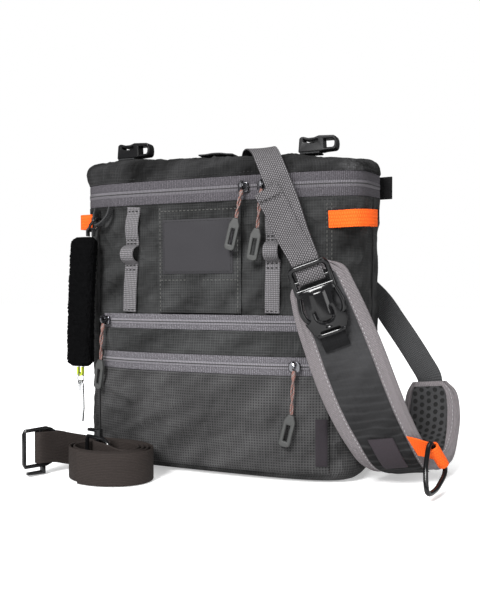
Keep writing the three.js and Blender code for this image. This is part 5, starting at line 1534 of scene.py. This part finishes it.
class CHESTPACK_OT_pad(bpy.types.Operator):
    """Makes the shoulder pad with its border, its wrinkled panel, its spacer mesh and its patch"""

    bl_idname = "chest_pack.pad"
    bl_label = "Shoulder pad"

    def execute(self, context):
        mesh = pad_mesh_of(np.linspace(0, 1, 260), border_section)
        pad = show("pad_border", mesh, "border", "border_grey", "shoulder_pad")
        seat = PANEL_SEAT + PAD_FACE
        flat = lambda share, w: 0 * share * w
        aside = lambda share: -0.13 * smoothstep(share, 0.7, 0.85)
        off_middle = lambda share: -0.03
        panel = layer_section(panel_share, seat, PANEL_THICK, 1, wrinkles)
        mesh = pad_mesh_of(np.linspace(PANEL_TOP, 19 / 29, 420), panel)
        show("pad_panel_cloth", mesh, "panel", "black", "pad_panel")
        spacer = layer_section(MESH_SHARE, seat, PANEL_THICK, -1, flat, aside)
        mesh = pad_mesh_of(np.linspace(PANEL_TOP, 28 / 29, 300), spacer)
        show("pad_mesh_cloth", mesh, "mesh", "black", "pad_mesh")
        patch = layer_section(0.33, PANEL_FACE, PANEL_THICK, 1, flat, off_middle)
        mesh = pad_mesh_of(np.linspace(0.47, 0.575, 40), patch)
        show("pad_patch_cloth", mesh, "tab", "belt_brown", "pad_patch")
        return {"FINISHED"}


class CHESTPACK_OT_belt(bpy.types.Operator):
    """Makes the coiled waist belt"""

    bl_idname = "chest_pack.belt"
    bl_label = "Waist belt"

    def execute(self, context):
        path = spaced(belt_path(), 900)
        web("belt", path, (0, 0, 1), BELT_WIDTH, BELT_THICK, "belt", "belt_brown")
        return {"FINISHED"}


PATCH = {"x": -112.2, "y": -58.0, "low": 83.6, "high": 192.6, "half_width": 11.8, "half_thick": 4.6}
HOOK_X, HOOK_Z, HOOK_OFF, HOOK_LEAN, HOOK_WIRE = -100.6, 203.0, 4, 0.8, 1.1
HOOK_ROWS = [(-6, 203), (-4.6, 207.2), (0, 208.2), (4.6, 207.2), (6, 203), (4, 198.8), (0, 198), (-4, 198.8)]
NIPPER_RING_Z, NIPPER_RING_RADIUS, NIPPER_WIRE = 73.4, 4.4, 0.8


def fly_patch_mesh():
    """The fly patch: a rounded box section carried up its height, narrower at its ends, with a pile"""
    u = np.linspace(0, 1, 160)[:, None]
    a = np.linspace(0, 2 * np.pi, 80, endpoint=False)[None]
    end = np.minimum(1, 0.62 + 12 * np.minimum(u, 1 - u))
    lean = 3.2 * u * u
    z = PATCH["low"] + (PATCH["high"] - PATCH["low"]) * u + 0 * a
    pile = 0.35 * waves(a * 12, z, 51, 2.6, 30) + 0.25 * waves(a * 12, z, 52, 8.0, 20)
    x = PATCH["x"] + lean + signed_power(np.cos(a), 0.35) * (PATCH["half_width"] * end + pile - 0.3)
    y = PATCH["y"] + lean * 0.6 + signed_power(np.sin(a), 0.5) * (PATCH["half_thick"] * end + pile - 0.3)
    around = np.append(a[0], 2 * np.pi) * 10.0
    return lofted(np.stack([x, y, z], axis=-1), texture_places(z[:, :1], around[None]))


def u_loop(middle, radius, leg, sign):
    """A strip bent into a U: two legs and half a circle"""
    a = np.pi * (1 - np.linspace(0, 1, 9))
    turn = np.stack([radius * np.cos(a), 0 * a, sign * radius * np.sin(a)], axis=1)
    return np.vstack([[-radius, 0, -sign * leg], turn, [radius, 0, -sign * leg]]) + middle


class CHESTPACK_OT_fly_patch(bpy.types.Operator):
    """Makes the fleece fly patch, its loop and ring, and the tab and ring of the nipper"""

    bl_idname = "chest_pack.fly_patch"
    bl_label = "Fly patch and nipper"

    def execute(self, context):
        fleece = show("fly_patch_fleece", fly_patch_mesh(), "fleece", "black", "fly_patch")
        hook_y = front_y(HOOK_X, HOOK_Z) - GAP - GEAR_WIDTH / 2 - HOOK_OFF
        ring = np.array([(HOOK_X - (HOOK_Z - z) * HOOK_LEAN, hook_y + y, z) for y, z in HOOK_ROWS])
        mesh = tube_mesh(closed_curve(ring, 64), HOOK_WIRE, 10, closed=True)
        show("patch_ring_wire", mesh, "gloss", "gloss", "patch_ring")
        path = spaced(u_loop(np.array([-104.8, hook_y, 197.7]), 2.7, 4.2, 1), 40)
        web("patch_loop", path, (0, 1, 0), 5, 1, "rear", "black")
        path = spaced(u_loop(np.array([PATCH["x"], PATCH["y"], 77.8]), 2.1, 5.2, -1), 40)
        web("nipper_tab", path, (0, 1, 0), 4, 0.9, "lime", "lime")
        a = np.linspace(0, 2 * np.pi, 48, endpoint=False)
        turn = NIPPER_RING_RADIUS * np.stack([0 * a, np.cos(a), np.sin(a)], axis=1)
        mesh = tube_mesh(turn + [PATCH["x"], PATCH["y"], NIPPER_RING_Z], NIPPER_WIRE, 10, closed=True)
        show("nipper_ring_wire", mesh, "steel", "metal", "nipper_ring")
        return {"FINISHED"}


PULL_ROWS = [
    {"name": "main_left", "zip": "main", "x": 34.5, "top": (31.6, 202.8), "low": (25.7, 179.2), "off": 8.0},
    {"name": "main_right", "zip": "main", "x": 50.5, "top": (48, 194.9), "low": (43.6, 172.7), "off": 6.0},
    {"name": "mid", "zip": "mid", "x": -90.0, "top": (-91.4, 89.3), "low": (-95, 65.9), "off": 6.4},
    {"name": "low", "zip": "low", "x": 76.3, "top": (74.4, 54.4), "low": (68.6, 30.4), "off": 4.4},
]
SLIDER_SEAT, EYE_RADIUS, EYE_RISE, EYE_GAP = 1.9, 3.4, 1.4, 0.6
ZIP_HEIGHTS = {"main": ZIP_FRONT_Z, "mid": MID_ZIP_Z, "low": LOW_ZIP_Z}
CORD_STRAND, CORD_SPREAD, CORD_TURNS, KNOT_RADIUS = 0.66, 0.62, 1.1, 1.5


def pull_point(x, z, off):
    """A point in front of the cloth that a pull hangs on: the pocket, or the panel above it"""
    cloth = swell(x, z) + POCKET_WALL if z < CENTRE["low"] else 2 * GAP + CENTRE["thick"]
    return front_point(x, z, cloth + off)


def cord_path(row):
    """Middle line of a pull cord, from the slider's eye to the top of its pull"""
    x, z = row["x"], ZIP_HEIGHTS[row["zip"]]
    seat = -ZIP_SUNK if row["zip"] == "main" else swell(x, z) + FRONT_TAPE + GAP + FRONT_COIL
    eye = front_point(x, z + EYE_RISE - EYE_RADIUS - EYE_GAP, seat + SLIDER_SEAT + EYE_RADIUS)
    top, low = pull_point(*row["top"], row["off"]), pull_point(*row["low"], row["off"])
    end = top + unit(top - low) * GAP
    middle = (eye + end) / 2 + front_normal(*row["top"]) * 0.8
    return spaced(np.array([eye, (eye + middle) / 2, middle, (middle + end) / 2, end]), 90)


def cord_mesh(path):
    """Two strands that twist round each other along a path, and a knot over its first part"""
    _, across, normal = strap_frames(path, (1, 0.3, 0))
    share = np.linspace(0, 1, len(path))[:, None]
    turn = 2 * np.pi * CORD_TURNS * share
    aside = across * np.cos(turn) + normal * np.sin(turn)
    spread = CORD_SPREAD * (1 + 0.5 * np.sin(np.pi * share))
    parts = [tube_mesh(path + sign * spread * aside, CORD_STRAND, 8) for sign in (1, -1)]
    knot = path[:22:3]
    swelling = np.sin(np.linspace(0.35, np.pi - 0.35, len(knot)))
    return merged([*parts, tube_mesh(knot, KNOT_RADIUS * swelling + 0.2, 10)])


class CHESTPACK_OT_cords(bpy.types.Operator):
    """Makes the pull cords of the four zip sliders"""

    bl_idname = "chest_pack.cords"
    bl_label = "Pull cords"

    def execute(self, context):
        for row in PULL_ROWS:
            node = f"cord_{row['name']}"
            show(f"{node}_braid", cord_mesh(cord_path(row)), "cord", "cord_pink", node)
        return {"FINISHED"}


def merged(meshes):
    """One mesh out of several, each keeping its own texture places"""
    work = bmesh.new()
    for mesh in meshes:
        work.from_mesh(mesh)
        bpy.data.meshes.remove(mesh)
    return from_work(work)


HARD_NODES = [
    *((f"lid_clip_{side}", "clip", "gloss") for side in ("left", "right")),
    *((f"belt_hook_{end}", "gloss", "gloss") for end in ("outer", "inner")),
    ("nipper", "steel", "metal"),
    *((f"slider_{row['name']}", "slider", "dark_metal") for row in PULL_ROWS),
    *((f"pull_{row['name']}", "pull", "pull_grey") for row in PULL_ROWS),
]
EDGE_SHARE = {"nipper": 0.4}


def joined_copy(node):
    """A copy of a solid with its triangles joined and its flat faces merged"""
    work = bmesh.new()
    work.from_mesh(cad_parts[node].data)
    bmesh.ops.remove_doubles(work, verts=work.verts, dist=2e-6)
    bmesh.ops.dissolve_limit(work, angle_limit=math.radians(3), verts=work.verts, edges=work.edges)
    mesh = from_work(work)
    smooth(mesh, 40)
    return mesh


BUCKLE_ROWS = np.array(
    [(-9, 12.4, 2.6), (-8.4, 13.6, 3.4), (-4, 14.8, 4.0), (3, 16.0, 4.5), (10, 16.4, 4.6)]
    + [(16, 15.4, 4.3), (21, 13.4, 3.7), (25, 11.2, 3.0), (27, 9.6, 2.2), (27.6, 8.6, 1.6)]
)
BUCKLE_CUTS = [
    {"from": (13.2, -1), "to": (13.8, 11), "radius": 3.6, "swell": 1.0},
    {"from": (-13.2, -1), "to": (-13.8, 11), "radius": 3.6, "swell": 1.0},
    {"from": (-6.4, 23.4), "to": (6.4, 23.4), "radius": 1.2, "swell": 0.0},
]


def on_buckle(a, d, o):
    """Points on the buckle: a across, d down the strap and o outwards from its middle"""
    at, down, across, out = buckle_frame()
    a, d, o = (np.asarray(v, float)[..., None] for v in np.broadcast_arrays(a, d, o))
    return at + across * a + down * d + out * o


def buckle_body():
    """The buckle's socket: a rounded box section carried down its length, with a ridge, a round groove,
    a notch and a lip on its front"""
    d = np.linspace(BUCKLE_ROWS[0, 0], BUCKLE_ROWS[-1, 0], 110)[:, None]
    rows = catmull(BUCKLE_ROWS, np.linspace(0, 1, 400))
    wide, high = (np.interp(d, rows[:, 0], rows[:, k]) for k in (1, 2))
    ang = np.linspace(0, 2 * np.pi, 120, endpoint=False)[None]
    a = signed_power(np.cos(ang), 0.62) * wide
    ridge = 1.5 * np.exp(-((a / 5.0) ** 6)) * smoothstep(d, -8, -4) * (1 - smoothstep(d, 13, 17))
    round_end = np.hypot(a, np.maximum(0, d - 11))
    groove = 1.2 * np.exp(-(((round_end - 6.2) / 0.9) ** 2)) * smoothstep(d, 5, 9)
    notch = 1.2 * np.exp(-((a / 0.8) ** 2)) * smoothstep(d, 16, 17.5) * (1 - smoothstep(d, 20, 21.5))
    lip = 1.0 * np.exp(-(((d - 25.6) / 1.2) ** 2))
    o = signed_power(np.sin(ang), 0.7) * high + (ridge - groove - notch + lip) * (np.sin(ang) > 0.2)
    return lofted(on_buckle(a, d, o), texture_places(d, np.append(ang, 2 * np.pi)[None] * 8))


def carved(mesh, cutters):
    """A mesh with other meshes cut out of it, which are taken away"""
    made = [bpy.data.objects.new("carving", piece) for piece in (mesh, *cutters)]
    for obj in made:
        bpy.context.collection.objects.link(obj)
    for cutter in made[1:]:
        knife = made[0].modifiers.new("cut", "BOOLEAN")
        knife.object, knife.operation, knife.solver = cutter, "DIFFERENCE", "EXACT"
    graph = bpy.context.evaluated_depsgraph_get()
    result = bpy.data.meshes.new_from_object(made[0].evaluated_get(graph))
    for obj, shape in zip(made, (mesh, *cutters)):
        bpy.data.objects.remove(obj)
        bpy.data.meshes.remove(shape)
    result.set_sharp_from_angle(angle=math.radians(38))
    return result


def buckle_cutter(row):
    """A slot right through the buckle: a capsule in plan, wider in its middle"""
    start, reach = np.array(row["from"], float), np.array(row["to"], float) - row["from"]
    u = np.linspace(0, 1, 24)[:, None]
    turn = np.linspace(-np.pi / 2, np.pi / 2, 9)
    along = unit(reach)
    side = np.array([-along[1], along[0]])
    line = start + u * reach
    out = side * (row["radius"] + row["swell"] * np.sin(np.pi * u))
    cap = row["radius"] * (np.outer(np.cos(turn), along) + np.outer(np.sin(turn), side))[::-1]
    plan = np.vstack([line + out, line[-1] + cap, (line - out)[::-1], line[0] - cap])
    rings = np.stack([on_buckle(plan[:, 0], plan[:, 1], o) for o in (-9.0, 9.0)])
    return lofted(rings, np.zeros((2, len(plan) + 1, 2)))


def buckle_plug():
    """The buckle's plug: a round bar bent into a frame, raised at its top, two bars across it, and two
    release arms that bulge out through the socket's sides"""
    half = [(13.4, -6, 0), (13.6, -14, 0), (13.6, -20, 0.8)]
    half += [(13, -23.6, 3.4), (11, -25.4, 5.2), (5, -25.6, 5.6)]
    arm = np.array([(13, -7, 0), (14.6, 0, 0.4), (15.4, 6, 0.8), (14.4, 11, 0.6), (12, 14.4, 0.2)])
    rail = np.array(half + [(-a, d, o) for a, d, o in half[::-1]])
    parts = [tube_mesh(spaced(on_buckle(*rail.T), 90), 2.0, 14)]
    for down, radius in ((-15.5, 1.6), (-8.6, 2.4)):
        parts.append(tube_mesh(on_buckle(np.linspace(-13.4, 13.4, 24), down, 0.2), radius, 12))
    for sign in (-1, 1):
        parts.append(tube_mesh(spaced(on_buckle(*(arm * (sign, 1, 1)).T), 50), 1.8, 14))
    return merged(parts)


NET_RING_ROWS = [(-12.4, 0), (-5, 0), (5, 0), (12.4, 0), (14.2, 4), (12.6, 13), (8.2, 25), (0, 34)]
NET_RING_ROWS += [(-8.2, 25), (-12.6, 13), (-14.2, 4)]
NET_RING_WIRE = 1.8


class CHESTPACK_OT_hardware(bpy.types.Operator):
    """Makes the moulded and metal pieces with rounded edges, and the net ring"""

    bl_idname = "chest_pack.hardware"
    bl_label = "Hardware"

    def execute(self, context):
        for node, look, slot in HARD_NODES:
            obj = show(f"{node}_moulded", joined_copy(node), look, slot, node)
            rounding = obj.modifiers.new("round edges", "BEVEL")
            rounding.width = sizes().edge_round * EDGE_SHARE.get(node, 0.8)
            rounding.segments = 3
            rounding.limit_method = "ANGLE"
            rounding.angle_limit = math.radians(35)
            rounding.harden_normals = True
        socket = carved(buckle_body(), [buckle_cutter(row) for row in BUCKLE_CUTS])
        show("buckle_socket", socket, "gloss", "gloss", "buckle_female")
        show("buckle_plug", buckle_plug(), "gloss", "gloss", "buckle_male")
        ring = ring_frame()
        bar = ring["at"](BAR_SIDE, BAR_DOWN, TAB_LIFT + TAB_TURN)
        points = np.array([bar + d * ring["along"] + o * ring["hang"] for d, o in NET_RING_ROWS])
        mesh = tube_mesh(closed_curve(points, 120), NET_RING_WIRE, 16, closed=True)
        show("net_ring_wire", mesh, "gloss", "gloss", "net_ring", body="net_ring")
        return {"FINISHED"}


def stitch_mesh(lines, width, rise):
    """Rows of stitches: each stitch is a short five-sided spindle of four rings laid along its line.
    lines is a list of (points, normals) in millimetres."""
    pitch, stitch = sizes().stitch_pitch / MM, sizes().stitch_length / MM
    centres, ways, outs = [], [], []
    for points, normals in lines:
        run = run_length(points)
        at = np.arange(pitch / 2, run[-1], pitch)
        centres.append(read_at(at, run, points))
        ways.append(unit(read_at(at + 0.4, run, points) - read_at(at - 0.4, run, points)))
        outs.append(unit(read_at(at, run, normals)))
    centre, way, out = (np.vstack(rows)[:, None, None] for rows in (centres, ways, outs))
    a = np.linspace(0, 2 * np.pi, 5, endpoint=False)
    place = (np.array([-0.5, -0.28, 0.28, 0.5]) * stitch)[:, None, None]
    size = np.array([0.25, 1.0, 1.0, 0.25])[:, None]
    sink = np.array([-0.25, 0.0, 0.0, -0.25])[:, None]
    aside = np.cross(way, out) * (width * np.cos(a) * size)[..., None]
    points = centre + way * place + (aside + out * (rise * np.sin(a) * size + sink * rise)[..., None])
    base = (np.arange(len(centre)) * 20)[:, None, None]
    quads = base + grid_quads(4, 5)
    ends = base + np.stack([np.arange(5)[::-1], 15 + np.arange(5)])[None]
    mesh = bpy.data.meshes.new("stitches")
    faces = quads.reshape(-1, 4).tolist() + ends.reshape(-1, 5).tolist()
    mesh.from_pydata((points.reshape(-1, 3) * MM).tolist(), [], faces)
    work = bmesh.new()
    work.from_mesh(mesh)
    bmesh.ops.recalc_face_normals(work, faces=work.faces)
    work.to_mesh(mesh)
    work.free()
    mesh.polygons.foreach_set("use_smooth", np.ones(len(mesh.polygons), dtype=bool))
    return mesh


def front_line(x0, z0, x1, z1, off):
    """A straight row on the bag's front, standing off by a distance"""
    u = np.linspace(0, 1, 80)
    x, z = x0 + (x1 - x0) * u, z0 + (z1 - z0) * u
    return front_point(x, z, off(x, z) if callable(off) else off), front_normal(x, z)


def pad_line(t, w, lift):
    """A row on the pad at shares of its length and half width; a lift below zero puts it on the back"""
    middle, half, normal, _ = pad_frame(t)
    return middle + half * np.reshape(w, (-1, 1)) + normal * lift, normal * np.sign(lift)


def arched_line(lift):
    """The pad's front row: up one side, round the top and down the other"""
    turn = np.linspace(-np.pi / 2, np.pi / 2, 60)
    low = np.linspace(0.64, 0.1, 160)
    across = np.concatenate([0 * low - 0.67, 0.67 * np.sin(turn), 0 * low + 0.67])
    return pad_line(np.concatenate([low, 0.1 - 0.075 * np.cos(turn), low[::-1]]), across, lift)


def outline_line(low, high, up, off):
    """A row round the bag at a height above the main zip's line"""
    deg = np.linspace(low, high, 260)
    px, py = outline(deg, -off)
    return np.stack([px, py, zip_z(py) + up], axis=1), plan_normal(deg)


def hem_line():
    """A row across the strap's tail, where its folded end is sewn down"""
    _, _, across, out = buckle_frame()
    first, second = shoulder_path(32)[24:26]
    lift = STRAP_THICK * 1.5 + GAP + 2.3
    middle = first + unit(second - first) * 7.6 + out * lift - across * TAIL_ASIDE * 0.92
    line = spaced(middle + np.outer(np.linspace(-1, 1, 5) * (STRAP_WIDTH / 2 - 1.2), across), 20)
    return line, np.broadcast_to(out, line.shape)


def piping_mesh():
    """Thin seams that stand up the bag: one at each side, and one at the left of the front"""
    parts = []
    for deg in (2.0, 178.0):
        z = np.linspace(16, 222, 80)
        px, py = outline(np.full(80, deg), wall_inset(z) - 0.2)
        parts.append(tube_mesh(np.stack([px, py, z], axis=1), 0.9, 8))
    return merged([*parts, tube_mesh(front_point(-103.2, np.linspace(18, 214, 80), 0.1), 0.7, 8)])


class CHESTPACK_OT_stitches(bpy.types.Operator):
    """Makes the rows of stitches that show, and the seam piping"""

    bl_idname = "chest_pack.stitches"
    bl_label = "Stitches"

    def execute(self, context):
        panel = GAP + CENTRE["thick"] + 0.1
        patch = 2 * GAP + CENTRE["thick"] + LABEL["thick"] + 0.05
        pocket = lambda x, z: swell(x, z) + POCKET_WALL + 0.1
        left, right = CENTRE["left"] + 1.9, CENTRE["right"] - 2.4
        bag = [front_line(x, 215, x, 131, panel) for x in (left, right)]
        bag += [front_line(left, z, right, z, panel) for z in (156, 211.5)]
        bag += [front_line(x, 214, x, 130, 0.1) for x in (99.0, 102.4)]
        show("bag_stitches", stitch_mesh(bag, 0.3, 0.26), "grey_thread", "web_grey")
        seams = [outline_line(-210, 36, ZIP_HALF + 2.4, 0.1), outline_line(-140, -40, -ZIP_HALF - 2.2, 0.1)]
        seams += [front_line(-95, z, 95, z, pocket) for z in (114.4, 99.4, 80.6)]
        x0, x1, z0, z1 = LABEL["left"] + 1.6, LABEL["right"] - 1.6, LABEL["low"] + 1.6, LABEL["high"] - 1.6
        seams += [front_line(x0, z, x1, z, patch) for z in (z0, z1)]
        seams += [front_line(x, z0, x, z1, patch) for x in (x0, x1)]
        show("dark_stitches", stitch_mesh(seams, 0.28, 0.24), "dark_thread", "black")
        show("seam_piping", piping_mesh(), "dark_thread", "black")
        show("tail_tack", stitch_mesh([hem_line()], 0.5, 0.4), "dark_thread", "black")
        lift = PAD_FACE + 0.35
        pad = [arched_line(lift)]
        pad += [pad_line(np.linspace(0.66, 0.97, 200), w, -lift) for w in (-0.72, 0.72)]
        show("pad_stitches", stitch_mesh(pad, 0.3, 0.3), "thread", "web_grey")
        tacks = []
        for side in CHAIN_X:
            for z in (213, 189.2, 186.4, 168.4, 164.8, 131.6):
                x = chain_x(side, z)
                tacks.append(front_line(x - 5.4, z, x + 5.4, z, GAP + CHAIN_THICK + 0.1))
        show("bar_tacks", stitch_mesh(tacks, 0.5, 0.35), "dark_thread", "black")
        return {"FINISHED"}


LAMPS = [
    {"name": "key", "at": (-0.1, -1.5, 1.1), "aim": (0.03, 0, 0.13), "size": 0.55, "power": 52.0},
    {"name": "right", "at": (1.3, -0.8, 0.6), "aim": (0, 0, 0.13), "size": 0.6, "power": 7.0},
    {"name": "top", "at": (0.1, 0.2, 1.7), "aim": (0, 0, 0.1), "size": 1.0, "power": 12.0},
]
FLOOR_HALF, FLOOR_DROP = 5, 0.0004


def floor_finish():
    """Pale floor that glows for the camera, more with the distance, and sheds little light"""
    material = bpy.data.materials.new("pale floor")
    material.use_nodes = True
    w = Wires(material.node_tree)
    where = w.node("ShaderNodeTexCoord").outputs
    far = w.node("ShaderNodeVectorMath", {0: where["Object"]}, operation="LENGTH").outputs["Value"]
    glow = w.calc("SUBTRACT", w.ranged(far, 0.12, 0.5, FLOOR_GLOW["seen"], 1.0), FLOOR_GLOW["shed"])
    seen = w.node("ShaderNodeLightPath").outputs["Is Camera Ray"]
    inputs = {"Base Color": (0.9, 0.9, 0.9, 1), "Roughness": 0.7, "Emission Color": (1, 1, 1, 1)}
    inputs["Emission Strength"] = w.calc("MULTIPLY_ADD", seen, glow, FLOOR_GLOW["shed"])
    for key, value in inputs.items():
        w.join(value, material.node_tree.nodes["Principled BSDF"].inputs[key])
    return material


def placed(name, data, at, towards):
    """An object at a place, looking along a direction"""
    obj = bpy.data.objects.new(name, data)
    obj.location = at
    obj.rotation_euler = towards.to_track_quat("-Z", "Y").to_euler()
    bpy.context.collection.objects.link(obj)
    return obj


def studio_world():
    """A world that is white for the camera and gives only a soft fill light"""
    world = bpy.data.worlds.new("studio")
    world.use_nodes = True
    wires = Wires(world.node_tree)
    seen = wires.node("ShaderNodeLightPath").outputs["Is Camera Ray"]
    background = world.node_tree.nodes["Background"].inputs
    wires.join((1, 1, 1, 1), background["Color"])
    wires.join(wires.calc("MULTIPLY_ADD", seen, 1.0 - STUDIO_FILL, STUDIO_FILL), background["Strength"])
    return world


def photo_camera():
    """The camera at the photograph's angle"""
    turn, pitch = math.radians(CAMERA["azimuth"]), math.radians(CAMERA["pitch"])
    ahead = Vector((-math.sin(turn), math.cos(turn), 0))
    right = Vector((math.cos(turn), math.sin(turn), 0))
    view = bpy.data.cameras.new("view")
    view.sensor_width = SENSOR
    view.lens = CAMERA["focal_px"] / PHOTO_HEIGHT * SENSOR
    at = -ahead * CAMERA["distance"] + right * CAMERA["side"] + Vector((0, 0, CAMERA["height"]))
    return placed("view", view, at * MM, ahead * math.cos(pitch) + Vector((0, 0, math.sin(pitch))))


class CHESTPACK_OT_stage(bpy.types.Operator):
    """Makes the pale floor, the soft lights and the camera at the photograph's angle"""

    bl_idname = "chest_pack.stage"
    bl_label = "Floor, light and camera"

    def execute(self, context):
        signs = ((-1, -1), (1, -1), (1, 1), (-1, 1))
        corners = [(x * FLOOR_HALF, y * FLOOR_HALF, -FLOOR_DROP) for x, y in signs]
        mesh = bpy.data.meshes.new("floor")
        mesh.from_pydata(corners, [], [(0, 1, 2, 3)])
        mesh.materials.append(floor_finish())
        floor = bpy.data.objects.new("floor", mesh)
        context.collection.objects.link(floor)
        for row in LAMPS:
            light = bpy.data.lights.new(row["name"], "AREA")
            light.energy, light.size = row["power"], row["size"]
            placed(row["name"], light, row["at"], Vector(row["aim"]) - Vector(row["at"]))
        context.scene.view_settings.view_transform = "Standard"
        context.scene.world = studio_world()
        context.scene.camera = photo_camera()
        return {"FINISHED"}


STEPS = (
    CHESTPACK_OT_stage,
    CHESTPACK_OT_bag,
    CHESTPACK_OT_zips,
    CHESTPACK_OT_pockets,
    CHESTPACK_OT_loops,
    CHESTPACK_OT_strap,
    CHESTPACK_OT_pad,
    CHESTPACK_OT_belt,
    CHESTPACK_OT_fly_patch,
    CHESTPACK_OT_cords,
    CHESTPACK_OT_hardware,
    CHESTPACK_OT_stitches,
)


class CHESTPACK_PT_steps(bpy.types.Panel):
    """Lists the steps that build the pack"""

    bl_idname = "CHESTPACK_PT_steps"
    bl_label = "Chest pack"
    bl_space_type = "VIEW_3D"
    bl_region_type = "UI"
    bl_category = "Chest pack"

    def draw(self, context):
        for step in STEPS:
            self.layout.operator(step.bl_idname)


CLASSES = (PackSizes, PackColours, *STEPS, CHESTPACK_PT_steps)


def register():
    """Makes the classes and the scene's settings known"""
    for item in CLASSES:
        bpy.utils.register_class(item)
    bpy.types.Scene.chest_pack_sizes = bpy.props.PointerProperty(type=PackSizes)
    bpy.types.Scene.chest_pack_colours = bpy.props.PointerProperty(type=PackColours)


def unregister():
    """Takes the classes and the scene's settings away"""
    del bpy.types.Scene.chest_pack_colours
    del bpy.types.Scene.chest_pack_sizes
    for item in reversed(CLASSES):
        bpy.utils.unregister_class(item)


def main():
    """Builds the pack step by step"""
    register()
    for step in STEPS:
        group, name = step.bl_idname.split(".")
        getattr(getattr(bpy.ops, group), name)()


if __name__ == "__main__":
    main()
